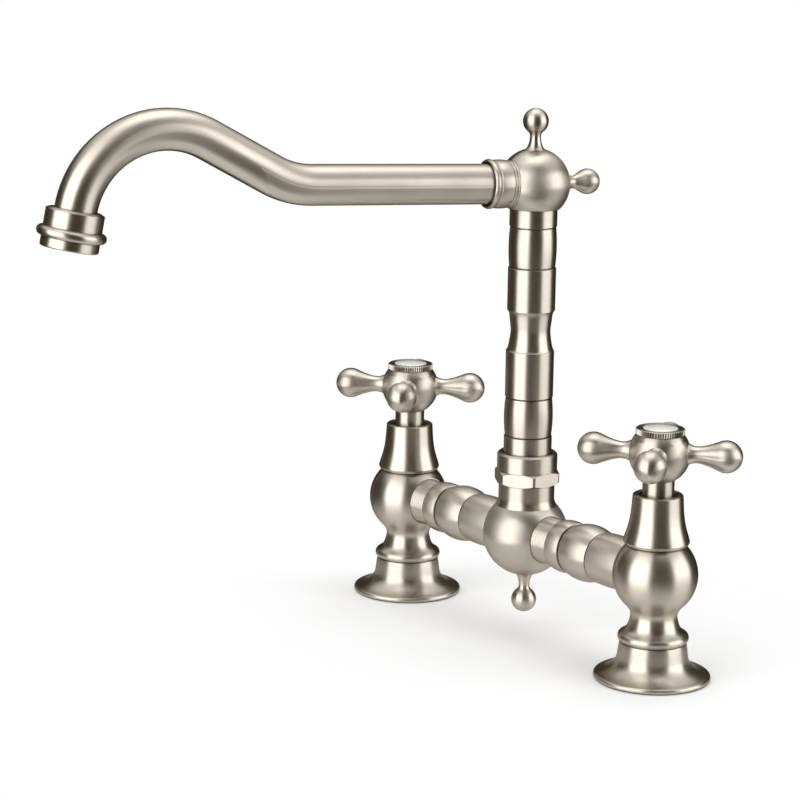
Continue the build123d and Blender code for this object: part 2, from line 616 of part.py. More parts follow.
# -------------------------------------------------------------------- the bridge
def bridge_arm():
    """Turned arm along +Z from its collar end: ridged collar, band, bulge, sleeve."""
    band = ARM_COLLAR_L
    bulge = band + ARM_BAND_L
    sleeve = bulge + ARM_BULGE_L
    ridge = band / ARM_COLLAR_RIDGES
    taper = (ARM_COLLAR_R - ARM_COLLAR_WAIST_R) / ARM_COLLAR_RIDGES
    shape = Turning(0, 0).line(ARM_COLLAR_R, 0)
    for k in range(ARM_COLLAR_RIDGES):
        foot_r = ARM_COLLAR_R - taper * (k + 1) - ARM_RIDGE_DEPTH
        shape.line(foot_r, ridge * (k + 1) - EDGE / 2)
        shape.line(foot_r + ARM_RIDGE_DEPTH, ridge * (k + 1))
    shape.line(ARM_BAND_EDGE_R, band + EDGE)
    shape.barrel(ARM_BAND_R, ARM_BAND_EDGE_R, bulge - NOTCH_W / 2)
    shape.groove(ARM_NOTCH_R, ARM_BULGE_EDGE_R)
    shape.barrel(ARM_BULGE_R, ARM_BULGE_EDGE_R, sleeve - NOTCH_W / 2)
    shape.groove(ARM_NOTCH_R, ARM_SLEEVE_EDGE_R)
    shape.arc(ARM_SLEEVE_R, (sleeve + ARM_L) / 2, ARM_SLEEVE_END_R, ARM_L).line(0, ARM_L)
    body = shape.solid()
    body += rod(ARM_SPIGOT_R, -ARM_SPIGOT_L, ARM_L + ARM_SPIGOT_L)
    body -= rod(ARM_BORE_R, -ARM_SPIGOT_L, ARM_L + ARM_SPIGOT_L)
    return body - o_ring_grooves(ARM_SPIGOT_R, ARM_SPIGOT_R - ORING_DEPTH, ARM_ORING_Z)


def bridge_arm_o_rings():
    return o_rings(ARM_SPIGOT_R + THREAD_GAP, ARM_SPIGOT_R - ORING_DEPTH, ARM_ORING_Z)


def middle_body():
    """Ball that mixes the water, with the neck and bearing for the riser."""
    flare_z = BRIDGE_Z + sqrt(MIDDLE_R**2 - MIDDLE_FLARE_R**2)
    neck = Turning(0, BRIDGE_Z).line(MIDDLE_FLARE_R, BRIDGE_Z).line(MIDDLE_FLARE_R, flare_z)
    neck.curve((MIDDLE_NECK_R, flare_z + MIDDLE_FLARE_H), tangents=[(-0.5, 1), (0, 1)])
    neck.line(MIDDLE_NECK_R, MIDDLE_NECK_Z).line(0, MIDDLE_NECK_Z)
    body = Pos(0, 0, BRIDGE_Z) * Sphere(MIDDLE_R) + neck.solid()
    body += rod(MIDDLE_THREAD_R, BRIDGE_Z, MIDDLE_TOP_Z)
    body -= rod(SOCKET_R, SOCKET_FLOOR_Z, MIDDLE_TOP_Z)
    body -= rod(MIDDLE_BORE_R, BRIDGE_Z, MIDDLE_TOP_Z)
    for side in (0, 180):
        body -= Rot(0, 0, side) * port_cut(MIDDLE_SEAT_X, ARM_BORE_R)
    return body - lower_finial_place() * finial_seat_cut()


def union_nut():
    """Hexagon nut with a tall round collar, whose inner lip holds the riser."""
    hex_top = MIDDLE_NECK_Z + NUT_H
    outside = Turning(0, hex_top).line(NUT_COLLAR_R, hex_top).line(NUT_COLLAR_R, NUT_TOP_Z - NUT_RIM)
    outside.line(NUT_COLLAR_R - NUT_RIM, NUT_TOP_Z).line(0, NUT_TOP_Z)
    hexagonal = Rot(0, 0, NUT_TURN) * hexagon(NUT_AF, MIDDLE_NECK_Z, hex_top)
    body = (hexagonal & rod(NUT_CORNER_R, MIDDLE_NECK_Z, hex_top)) + outside.solid()
    body -= rod(MIDDLE_THREAD_R + THREAD_GAP, MIDDLE_NECK_Z, NUT_LIP_Z)
    body -= rod(NUT_LIP_R, NUT_LIP_Z, NUT_LIP_Z + NUT_LIP_T)
    return body - rod(NUT_MOUTH_R, NUT_LIP_Z + NUT_LIP_T, NUT_TOP_Z)


def slip_washer():
    low = NUT_LIP_Z + NUT_LIP_T
    return ring(NUT_MOUTH_R - RING_GAP, NUT_LIP_R, low, low + WASHER_T)


def riser():
    """Turned pipe: collars, barrels and a waist, on a shank that swivels below."""
    waist_low_mid = (RISER_WAIST_LOW_Z + RISER_WAIST_Z) / 2
    waist_top_mid = (RISER_WAIST_TOP_Z + RISER_WAIST_Z) / 2
    waist_mid_r = RISER_WAIST_R + (RISER_SLEEVE_R - RISER_WAIST_R) / 4
    shape = Turning(0, RISER_SHOULDER_Z).line(RISER_FOOT_R - EDGE, RISER_SHOULDER_Z)
    shape.line(RISER_FOOT_R, RISER_SHOULDER_Z + EDGE).line(RISER_FOOT_R, RISER_FOOT_TOP_Z)
    shape.groove(RISER_NOTCH_R, RISER_LOW_BARREL_END_R)
    shape.barrel(RISER_LOW_BARREL_R, RISER_LOW_BARREL_END_R, RISER_LOW_BARREL_TOP_Z)
    shape.groove(RISER_NOTCH_R, RISER_SLEEVE_R)
    shape.line(RISER_SLEEVE_R, RISER_WAIST_LOW_Z - EDGE)
    shape.line(RISER_SLEEVE_R - EDGE, RISER_WAIST_LOW_Z)
    shape.curve(
        (waist_mid_r, waist_low_mid),
        (RISER_WAIST_R, RISER_WAIST_Z),
        (waist_mid_r, waist_top_mid),
        (RISER_UPPER_SLEEVE_R - EDGE, RISER_WAIST_TOP_Z),
        tangents=[(-0.5, 1), (0.7, 1)],
    )
    shape.line(RISER_UPPER_SLEEVE_R, RISER_WAIST_TOP_Z + EDGE)
    shape.line(RISER_UPPER_SLEEVE_R, RISER_UPPER_SLEEVE_TOP_Z)
    shape.groove(RISER_NOTCH_R, RISER_HIGH_BARREL_END_R)
    shape.barrel(RISER_HIGH_BARREL_R, RISER_HIGH_BARREL_END_R, RISER_HIGH_BARREL_TOP_Z)
    shape.groove(RISER_NOTCH_R, RISER_TOP_R)
    shape.line(RISER_TOP_R, HEAD_SEAT_Z).line(0, HEAD_SEAT_Z)
    body = shape.solid()
    body += rod(SHANK_R, SHANK_END_Z, RISER_SHOULDER_Z)
    body += rod(HEAD_SPIGOT_R, HEAD_SEAT_Z, HEAD_SEAT_Z + HEAD_SPIGOT_H)
    body -= rod(RISER_BORE_R, SHANK_END_Z, HEAD_SEAT_Z + HEAD_SPIGOT_H)
    body -= o_ring_grooves(SHANK_R, SHANK_R - ORING_DEPTH, SHANK_ORING_Z)
    clip_low = RETAINER_Z - FACE_GAP
    clip_high = RETAINER_Z + RETAINER_T + FACE_GAP
    return body - ring(SHANK_R + OVERCUT, RETAINER_GROOVE_R, clip_low, clip_high)


def retainer_clip():
    """Split ring in the shank's groove, held down by the nut's lip."""
    inner = RETAINER_GROOVE_R + RING_GAP
    return split_ring(RETAINER_R, inner, RETAINER_Z, RETAINER_Z + RETAINER_T, RETAINER_SLOT)


def riser_o_rings():
    return o_rings(SOCKET_R, SHANK_R - ORING_DEPTH, SHANK_ORING_Z)


# ---------------------------------------------------------------- head and spout
HEADING = Vector(cos(radians(SPOUT_TURN)), sin(radians(SPOUT_TURN)), 0)
SIDEWAYS = Vector(HEADING.Y, -HEADING.X, 0)
RISE = radians(SPOUT_RISE)
SPOUT_PLANE = Plane(origin=(0, 0, HEAD_Z), x_dir=HEADING, z_dir=SIDEWAYS)
SPOUT_AXIS = Plane(
    origin=(0, 0, HEAD_Z),
    x_dir=SIDEWAYS,
    z_dir=HEADING * cos(RISE) + Vector(0, 0, sin(RISE)),
).location


def spout_path():
    """Middle line of the spout's tube: straight, bend up, straight, hump, tail."""
    step = Vector(cos(RISE), sin(RISE))
    first = Line(step * TUBE_START, step * FIRST_BEND_AT)
    bend = JernArc(first @ 1, first % 1, FIRST_BEND_R, FIRST_BEND_TURN)
    incline = Line(bend @ 1, bend @ 1 + (bend % 1) * INCLINE_L)
    hump = JernArc(incline @ 1, incline % 1, HUMP_R, -HUMP_TURN)
    tail = Line(hump @ 1, hump @ 1 + (hump % 1) * TUBE_TAIL)
    return SPOUT_PLANE * Wire([first, bend, incline, hump, tail])


def tube_along(path, radius):
    start = Plane(origin=path @ 0, z_dir=path % 0)
    return sweep(start * Circle(radius), path=path)


def spout_tube():
    path = spout_path()
    return tube_along(path, TUBE_R) - tube_along(path, TUBE_R - TUBE_WALL)


def head_ball():
    """Ball on the riser that turns the water into the spout."""
    centre = Pos(0, 0, HEAD_Z)
    seat = HEAD_SEAT_Z - HEAD_Z
    body = Sphere(HEAD_R) - rod(HEAD_R, -HEAD_R, seat)
    body -= rod(HEAD_SPIGOT_R + THREAD_GAP, seat, seat + HEAD_SPIGOT_H + FREE_GAP)
    body -= rod(HEAD_CAVITY_R, seat, 0) + Sphere(HEAD_CAVITY_R)
    body = centre * body
    for place in (top_finial_place(), side_finial_place()):
        body -= place * finial_seat_cut()
    port = rod(HEAD_R, COLLAR_SEAT, HEAD_R)
    port += rod(COLLAR_SPIGOT_R + THREAD_GAP, COLLAR_SEAT - COLLAR_SPIGOT_L - FREE_GAP, COLLAR_SEAT)
    port += rod(HEAD_CAVITY_R, 0, COLLAR_SEAT)
    return body - SPOUT_AXIS * port


def spout_collar():
    """Ringed collar that screws into the head and holds the tube."""
    seat = COLLAR_SEAT
    bead = COLLAR_END - COLLAR_BEAD_L
    band = bead - COLLAR_BAND_L
    mouth_r = COLLAR_MOUTH_R + COLLAR_MOUTH_EDGE
    ring_l = (band - NOTCH_W - seat - NOTCH_W) / 2
    shape = Turning(0, seat).line(COLLAR_RING_R, seat).line(COLLAR_RING_R, seat + ring_l)
    shape.groove(COLLAR_NOTCH_R, COLLAR_RING_R).line(COLLAR_RING_R, band - NOTCH_W)
    shape.groove(COLLAR_NOTCH_R, COLLAR_BAND_R - EDGE / 2)
    shape.barrel(COLLAR_BAND_R, COLLAR_BAND_R - EDGE / 2, bead - NOTCH_W)
    shape.groove(COLLAR_NOTCH_R, COLLAR_NOTCH_R)
    shape.barrel(COLLAR_BEAD_R, mouth_r, COLLAR_END).line(0, COLLAR_END)
    body = shape.solid()
    body += rod(COLLAR_SPIGOT_R, seat - COLLAR_SPIGOT_L, seat)
    body -= rod(HEAD_CAVITY_R, seat - COLLAR_SPIGOT_L, COLLAR_END)
    body -= rod(TUBE_R + THREAD_GAP, TUBE_START, COLLAR_END)
    return SPOUT_AXIS * (body - rod(COLLAR_MOUTH_R, COLLAR_END - COLLAR_MOUTH_DEPTH, COLLAR_END))


def finial(ball_h, join_r, neck_r, neck_h):
    """Ball on a slender flared neck, with a threaded stud below its seat."""
    drop = sqrt(FINIAL_BALL_R**2 - join_r**2)
    flare_r = (3 * neck_r + FINIAL_SEAT_R) / 4
    shape = Turning(0, 0).line(FINIAL_SEAT_R - EDGE / 2, 0)
    shape.curve(
        (flare_r, neck_h / 2),
        (neck_r, neck_h),
        (join_r, ball_h - drop),
        tangents=[(-1, 0.8), (drop, join_r)],
    )
    shape.arc(FINIAL_BALL_R, ball_h, 0, ball_h + FINIAL_BALL_R)
    return shape.solid() + rod(FINIAL_STUD_R, -FINIAL_STUD_L, 0)


def upright_finial():
    return finial(FINIAL_BALL_H, FINIAL_BALL_JOIN_R, FINIAL_NECK_R, FINIAL_NECK_H)


def side_finial():
    return finial(SIDE_FINIAL_BALL_H, SIDE_FINIAL_JOIN_R, SIDE_FINIAL_NECK_R, SIDE_FINIAL_NECK_H)


def finial_seat_cut():
    """Flat seat and stud hole that a ball gets for a finial."""
    hole = rod(FINIAL_STUD_R + THREAD_GAP, -FINIAL_STUD_L - END_GAP, 0)
    return hole + rod(FINIAL_SEAT_R + OVERCUT, 0, FINIAL_SEAT_R)


def top_finial_place():
    return Pos(0, 0, HEAD_Z + HEAD_FINIAL_SEAT)


def side_finial_place():
    """Seat on the side of the head that faces away from the spout."""
    back = HEADING * -1
    origin = Vector(0, 0, HEAD_Z) + back * HEAD_FINIAL_SEAT
    return Plane(origin=origin, x_dir=(0, 0, 1), z_dir=back).location


def lower_finial_place():
    return Pos(0, 0, BRIDGE_Z - MIDDLE_FINIAL_SEAT) * Rot(180, 0, 0)


def outlet_place():
    """Frame on the end of the hump, with +Z pointing the way the water leaves."""
    path = spout_path()
    end = path % 1
    return Plane(origin=path @ 1 - end * TUBE_TAIL, x_dir=SIDEWAYS, z_dir=end).location


def outlet_collar():
    """Collar with a bead, brazed on the tube's end and threaded for the aerator."""
    bevel = OUTLET_SHOULDER_BEVEL
    bead_low_r = OUTLET_BEAD_R - OUTLET_BEAD_L / 2
    shape = Turning(0, 0).line(OUTLET_R - 2 * bevel, 0)
    shape.line(OUTLET_R, bevel).line(OUTLET_R, OUTLET_COLLAR_L)
    shape.line(bead_low_r, OUTLET_COLLAR_L).barrel(OUTLET_BEAD_R, bead_low_r, OUTLET_L)
    shape.line(0, OUTLET_L)
    body = shape.solid()
    body -= rod(TUBE_R + THREAD_GAP, 0, TUBE_TAIL)
    body -= rod(OUTLET_BORE_R, 0, OUTLET_L)
    return body - rod(AERATOR_THREAD_R + THREAD_GAP, TUBE_TAIL + OUTLET_WEB_T, OUTLET_L)


def aerator_washer():
    outer = AERATOR_THREAD_R - RING_GAP
    return ring(outer, outer - AERATOR_WASHER_W, TUBE_TAIL + OUTLET_WEB_T, AERATOR_TOP)


def aerator_shell():
    """Ring that screws into the outlet and holds the aerator's insert."""
    shape = Turning(0, OUTLET_L).line(OUTLET_R, OUTLET_L).line(OUTLET_R, AERATOR_END - AERATOR_EDGE)
    shape.line(OUTLET_R - AERATOR_EDGE, AERATOR_END).line(0, AERATOR_END)
    body = shape.solid() + rod(AERATOR_THREAD_R, AERATOR_TOP, OUTLET_L)
    body -= rod(AERATOR_BORE_R, AERATOR_TOP, AERATOR_END - AERATOR_LIP_T)
    return body - rod(AERATOR_LIP_R, AERATOR_TOP, AERATOR_END)


def aerator_insert():
    """Plastic flow straightener, a honeycomb of round holes."""
    high = AERATOR_END - AERATOR_LIP_T
    body = rod(AERATOR_BORE_R - RING_GAP, AERATOR_TOP, high)
    holes = []
    for row in range(-AERATOR_HOLE_ROWS, AERATOR_HOLE_ROWS + 1):
        count = 2 * AERATOR_HOLE_ROWS + 1 - abs(row)
        y = row * AERATOR_HOLE_PITCH * sqrt(3) / 2
        for k in range(count):
            x = (k - (count - 1) / 2) * AERATOR_HOLE_PITCH
            holes.append(Pos(x, y, 0) * rod(AERATOR_HOLE_R, AERATOR_TOP, high))
    return body - holes


# ----------------------------------------------------------------- putting together
def write(name, shape):
    """Writes one piece, or one group of like pieces, as a named STEP file."""
    solids = shape.solids()
    whole = solids[0] if len(solids) == 1 else Compound(children=list(solids))
    export_step(whole, f"parts/{name}.step")


def pillar_pieces():
    """Fixed pieces of one pillar, on the Z axis, with its port towards +X."""
    return {
        "foot": foot(),
        "foot_gasket": foot_gasket(),
        "pillar_body": pillar_body(),
        "bonnet": bonnet(),
        "valve_cartridge": valve_cartridge(),
        "valve_seal": valve_seal(),
        "fixed_disc": disc(FIXED_DISC_Z, 0),
    }


def handle_pieces():
    """Pieces that turn with one handle, on the Z axis, with an arm along +X."""
    return {
        "moving_disc": moving_disc(),
        "spindle": spindle(),
        "spindle_clip": spindle_clip(),
        "spindle_o_rings": spindle_o_rings(),
        "stem_sleeve": stem_sleeve(),
        "cross_handle": cross_handle(),
        "handle_screw": handle_screw(),
        "cap_ring": cap_ring(),
        "index_disc": index_disc(),
    }


def write_sides():
    """Both pillars with their handles, and the two arms of the bridge."""
    fixed = pillar_pieces()
    turning = handle_pieces()
    arm = bridge_arm()
    arm_rings = bridge_arm_o_rings()
    sides = (
        ("hot", -PILLAR_X, 0, HOT_HANDLE_TURN, BULB_SEAT_X - PILLAR_X),
        ("cold", PILLAR_X, 180, COLD_HANDLE_TURN, MIDDLE_SEAT_X),
    )
    for side, x, facing, handle_turn, arm_start in sides:
        for name, piece in fixed.items():
            write(f"{side}_{name}", Pos(x, 0, 0) * Rot(0, 0, facing) * piece)
        for name, piece in turning.items():
            write(f"{side}_{name}", Pos(x, 0, 0) * Rot(0, 0, handle_turn) * piece)
        write(f"{side}_bridge_arm", along_x(arm_start) * arm)
        write(f"{side}_arm_o_rings", along_x(arm_start) * arm_rings)


def write_middle():
    """Middle body, riser, head and spout, with their small pieces."""
    write("middle_body", middle_body())
    write("union_nut", union_nut())
    write("slip_washer", slip_washer())
    write("riser", riser())
    write("retainer_clip", retainer_clip())
    write("riser_o_rings", riser_o_rings())
    write("head_ball", head_ball())
    write("spout_collar", spout_collar())
    write("spout_tube", spout_tube())
    write("top_finial", top_finial_place() * upright_finial())
    write("side_finial", side_finial_place() * side_finial())
    write("lower_finial", lower_finial_place() * upright_finial())


def write_outlet():
    """Collar and aerator on the end of the spout."""
    outlet = outlet_place()
    write("outlet_collar", outlet * outlet_collar())
    write("aerator_washer", outlet * aerator_washer())
    write("aerator_shell", outlet * aerator_shell())
    write("aerator_insert", outlet * aerator_insert())


os.makedirs("parts", exist_ok=True)
write_sides()
write_middle()
write_outlet()
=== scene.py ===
"""Look of a bridge kitchen tap in brushed nickel: materials, stage, lamps and camera."""

import json
import math

import bpy
from bpy.props import FloatProperty, FloatVectorProperty, PointerProperty
from mathutils import Matrix, Vector


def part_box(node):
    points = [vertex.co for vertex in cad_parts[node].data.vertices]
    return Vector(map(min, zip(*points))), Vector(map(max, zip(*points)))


bl_info = {
    "name": "Bridge Kitchen Tap",
    "version": (1, 0, 0),
    "blender": (4, 5, 0),
    "location": "View3D > Sidebar > Tap",
    "description": "Finishes a bridge kitchen tap in brushed nickel and sets it on a plain stage",
    "category": "Object",
}

MM = 0.001

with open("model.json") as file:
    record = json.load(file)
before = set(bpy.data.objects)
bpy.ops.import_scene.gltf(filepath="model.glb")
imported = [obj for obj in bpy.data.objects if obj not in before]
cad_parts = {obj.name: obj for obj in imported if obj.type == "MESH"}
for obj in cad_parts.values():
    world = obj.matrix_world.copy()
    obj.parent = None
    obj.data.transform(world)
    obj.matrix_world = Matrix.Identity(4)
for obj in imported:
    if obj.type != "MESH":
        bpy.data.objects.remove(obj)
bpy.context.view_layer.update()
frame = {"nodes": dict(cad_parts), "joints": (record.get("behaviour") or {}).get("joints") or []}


# ------------------------------------------------------------ places from the frame
def middle_of(node):
    low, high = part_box(node)
    return (low + high) / 2


def direction(start_node, end_node):
    """Unit vector from the middle of one node to the middle of another."""
    return (middle_of(end_node) - middle_of(start_node)).normalized()


def joint_place(name):
    for joint in frame["joints"]:
        if joint["name"] == name:
            return Vector(joint["pos_m"])
    raise KeyError(f"the frame has no joint named {name}")


SIDES = ("hot", "cold")
HANDLE_PIVOTS = {side: joint_place(f"{side}_turn") for side in SIDES}
PILLAR_X = HANDLE_PIVOTS["cold"].x
BRIDGE_Z = middle_of("hot_bridge_arm").z
HEAD_Z = middle_of("side_finial").z
BALL_RADIUS = (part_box("middle_body")[1].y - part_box("middle_body")[0].y) / 2
UP = Vector((0, 0, 1))
ALONG_BRIDGE = Vector((1, 0, 0))
ALONG_SPOUT = direction("side_finial", "spout_collar")
SPOUT_SIDEWAYS = ALONG_SPOUT.cross(UP).normalized()
DOWN_OUTLET = direction("outlet_collar", "aerator_shell")
NECK_START = BRIDGE_Z + 0.7 * BALL_RADIUS  # where the middle body's ball turns into its neck
HUB_RADIUS = 12.5 * MM  # a handle is brushed round its hub within this, and round its arms beyond
HUMP_RADIUS = 42 * MM  # middle line of the spout's last bend
HUMP_REACH = HUMP_RADIUS + 10 * MM  # takes in the tube's far wall

# --------------------------------------------------------------- sizes of the finish
KNURL_RADIUS = 0.07 * MM  # rounding of the fine teeth
RIDGE_RADIUS = 0.12 * MM  # rounding of the fine ridges on the bridge's arms
SMALL_EDGE_RADIUS = 0.2 * MM  # rounding of the inner pieces
GLAZE_EDGE_RADIUS = 0.3 * MM
# painted shade: ambient occlusion darkens the colour in joints, in grooves and between fine teeth
# and ridges, where shade falls
METAL_SHADE_REACH = 0.9 * MM  # how far from a wall the painted shade reaches in a joint
GLAZE_SHADE_REACH = 0.8 * MM
JOINT_ONSET = 0.85  # how open a place is where the painted shade begins in a joint
FINE_ONSET = 0.97  # and where it begins between fine teeth and ridges
SHADE_SPAN = 0.45  # how much less open a place is where the painted shade covers it fully
GLARE_TINT = (0.55, 0.50, 0.44)  # of the nickel seen at a slant
# painted shade in the hollows of the glaze
GLAZE_GROOVE_SHADE = (0.42, 0.40, 0.36)

# -------------------------------------------------------------------- stage in metres
FLOOR_REACH = 12.0
FADE_START = 0.04  # the floor is solid up to here from the line between the pillars
FADE_END = 0.18  # and gone beyond here
CARD_DISTANCE = 2.4
LAMP_DISTANCE = 1.9
LAMP_TARGET = Vector((0, 0, 0.12))
FILL_STRENGTH = 0.70  # of the white surroundings, as a light
DULL = {"Roughness": 0.9, "Specular_IOR_Level": 0.0}  # finish of the floor and cards


# ----------------------------------------------------------------------- settings
class NickelSettings(bpy.types.PropertyGroup):
    """Brushed nickel that covers every outer piece."""

    colour: FloatVectorProperty(
        name="Nickel",
        description="Colour of the plated metal",
        subtype="COLOR",
        min=0,
        max=1,
        default=(0.53, 0.487, 0.418),
    )
    # painted shade laid over the metal deep in joints and grooves
    shade: FloatVectorProperty(
        name="Groove shade",
        description="Colour of the metal deep in joints and grooves",
        subtype="COLOR",
        min=0,
        max=1,
        default=(0.12, 0.10, 0.078),
    )
    roughness: FloatProperty(
        name="Roughness",
        description="How satin the brushing is",
        subtype="FACTOR",
        min=0,
        max=1,
        default=0.345,
    )
    stretch: FloatProperty(
        name="Highlight stretch",
        description="How far the brushing draws a highlight out across its lines",
        subtype="FACTOR",
        min=0,
        max=1,
        default=0.78,
    )
    line_width: FloatProperty(
        name="Brush line",
        description="Width of one brushed line",
        subtype="DISTANCE",
        unit="LENGTH",
        min=0.00002,
        max=0.002,
        default=0.00012,
    )
    line_depth: FloatProperty(
        name="Brush depth",
        description="Depth of the brushed lines",
        subtype="DISTANCE",
        unit="LENGTH",
        min=0,
        max=0.0002,
        default=0.0000008,
    )
    edge_radius: FloatProperty(
        name="Edge radius",
        description="How far buffing has rounded the edges",
        subtype="DISTANCE",
        unit="LENGTH",
        min=0,
        max=0.002,
        default=0.00035,
    )


class SmallPartSettings(bpy.types.PropertyGroup):
    """Colours of the pieces that aren't nickel."""

    porcelain: FloatVectorProperty(
        name="Porcelain",
        description="Glazed index discs",
        subtype="COLOR",
        min=0,
        max=1,
        default=(0.86, 0.86, 0.84),
    )
    ceramic: FloatVectorProperty(
        name="Ceramic",
        description="Discs of the valves",
        subtype="COLOR",
        min=0,
        max=1,
        default=(0.78, 0.74, 0.66),
    )
    brass: FloatVectorProperty(
        name="Brass",
        description="Valve bodies and spindles",
        subtype="COLOR",
        min=0,
        max=1,
        default=(0.72, 0.53, 0.25),
    )
    steel: FloatVectorProperty(
        name="Steel",
        description="Screws and spring clips",
        subtype="COLOR",
        min=0,
        max=1,
        default=(0.56, 0.57, 0.58),
    )
    rubber: FloatVectorProperty(
        name="Rubber",
        description="Gaskets, seals and O-rings",
        subtype="COLOR",
        min=0,
        max=1,
        default=(0.022, 0.022, 0.024),
    )
    plastic: FloatVectorProperty(
        name="Plastic",
        description="Aerator insert, retainer ring and slip washer",
        subtype="COLOR",
        min=0,
        max=1,
        default=(0.74, 0.74, 0.71),
    )


class StageSettings(bpy.types.PropertyGroup):
    """Camera, floor and cards."""

    aim: FloatVectorProperty(
        name="Aim",
        description="Point that the camera looks at",
        subtype="TRANSLATION",
        unit="LENGTH",
        default=(0.212108, -0.251798, 0.184720),
    )
    distance: FloatProperty(
        name="Distance",
        description="From the camera to that point",
        subtype="DISTANCE",
        unit="LENGTH",
        default=0.93904,
    )
    heading: FloatProperty(
        name="Heading",
        description="Which way the camera looks, anticlockwise from +X",
        subtype="ANGLE",
        unit="ROTATION",
        default=math.radians(140.932),
    )
    pitch: FloatProperty(
        name="Pitch",
        description="How far the camera looks down",
        subtype="ANGLE",
        unit="ROTATION",
        default=math.radians(12.242),
    )
    roll: FloatProperty(
        name="Roll",
        description="Turn of the camera about its own line of sight",
        subtype="ANGLE",
        unit="ROTATION",
        default=math.radians(-0.8629),
    )
    lens: FloatProperty(
        name="Lens",
        description="Focal length in millimetres on a 36 mm sensor",
        default=118.98,
    )
    floor: FloatVectorProperty(
        name="Floor",
        description="Colour of the floor",
        subtype="COLOR",
        min=0,
        max=1,
        default=(0.90, 0.90, 0.90),
    )
    card: FloatVectorProperty(
        name="Card",
        description="Colour of the dark cards that the metal mirrors",
        subtype="COLOR",
        min=0,
        max=1,
        default=(0.05, 0.035, 0.012),
    )


# ------------------------------------------------------------------ building nodes
MIX_COLOURS = (6, 7)  # a Mix node's two colour inputs, which share their names with others
MIX_RESULT = 2  # its colour output


class Nodes:
    """Adds nodes to one tree. A value is a socket, a number, a vector or a colour."""

    def __init__(self, tree):
        self.tree = tree

    def add(self, kind, **settings):
        node = self.tree.nodes.new(kind)
        for name, value in settings.items():
            setattr(node, name, value)
        return node

    def feed(self, socket, value):
        if isinstance(value, bpy.types.NodeSocket):
            self.tree.links.new(value, socket)
        elif isinstance(value, (int, float)):
            socket.default_value = value
        else:
            size = len(socket.default_value)
            socket.default_value = (*value, 1.0)[:size]

    def feed_all(self, node, values):
        for name, value in values.items():
            self.feed(node.inputs[name], value)
        return node

    def math(self, operation, *values):
        node = self.add("ShaderNodeMath", operation=operation)
        for socket, value in zip(node.inputs, values):
            self.feed(socket, value)
        return node.outputs["Value"]

    def vector(self, operation, *values, output="Vector"):
        node = self.add("ShaderNodeVectorMath", operation=operation)
        for socket, value in zip(node.inputs, values):
            self.feed(socket, value)
        return node.outputs[output]

    def dot(self, first, second):
        return self.vector("DOT_PRODUCT", first, second, output="Value")

    def scale(self, vector, factor):
        node = self.add("ShaderNodeVectorMath", operation="SCALE")
        return self.feed_all(node, {"Vector": vector, "Scale": factor}).outputs["Vector"]

    def parts(self, vector):
        """The X, Y and Z of a vector, by name."""
        node = self.add("ShaderNodeSeparateXYZ")
        self.feed(node.inputs["Vector"], vector)
        return node.outputs

    def joined(self, **values):
        """Vector with the given X, Y and Z, and 0 where one isn't given."""
        return self.feed_all(self.add("ShaderNodeCombineXYZ"), values).outputs["Vector"]

    def remap(self, value, low, high, to_low, to_high):
        node = self.add("ShaderNodeMapRange", clamp=True)
        for socket, number in zip(node.inputs, (value, low, high, to_low, to_high)):
            self.feed(socket, number)
        return node.outputs["Result"]

    def mix(self, factor, first, second):
        node = self.add("ShaderNodeMix", data_type="RGBA", clamp_factor=True)
        self.feed(node.inputs["Factor"], factor)
        for index, colour in zip(MIX_COLOURS, (first, second)):
            self.feed(node.inputs[index], colour)
        return node.outputs[MIX_RESULT]

    def place(self, group, **values):
        """Places a node group and feeds its sockets, spaces written as underscores."""
        node = self.add("ShaderNodeGroup", node_tree=group)
        for name, value in values.items():
            self.feed(node.inputs[name.replace("_", " ")], value)
        return node


def new_group(name, inputs, outputs):
    """Empty node group with named sockets: (name, kind) or (name, kind, default)."""
    group = bpy.data.node_groups.new(name, "ShaderNodeTree")
    for socket_name, kind, *default in inputs:
        socket = group.interface.new_socket(socket_name, in_out="INPUT", socket_type=kind)
        if default:
            socket.default_value = default[0]
    for socket_name, kind in outputs:
        group.interface.new_socket(socket_name, in_out="OUTPUT", socket_type=kind)
    nodes = Nodes(group)
    source = nodes.add("NodeGroupInput")
    result = nodes.add("NodeGroupOutput")
    return group, nodes, source.outputs, result.inputs


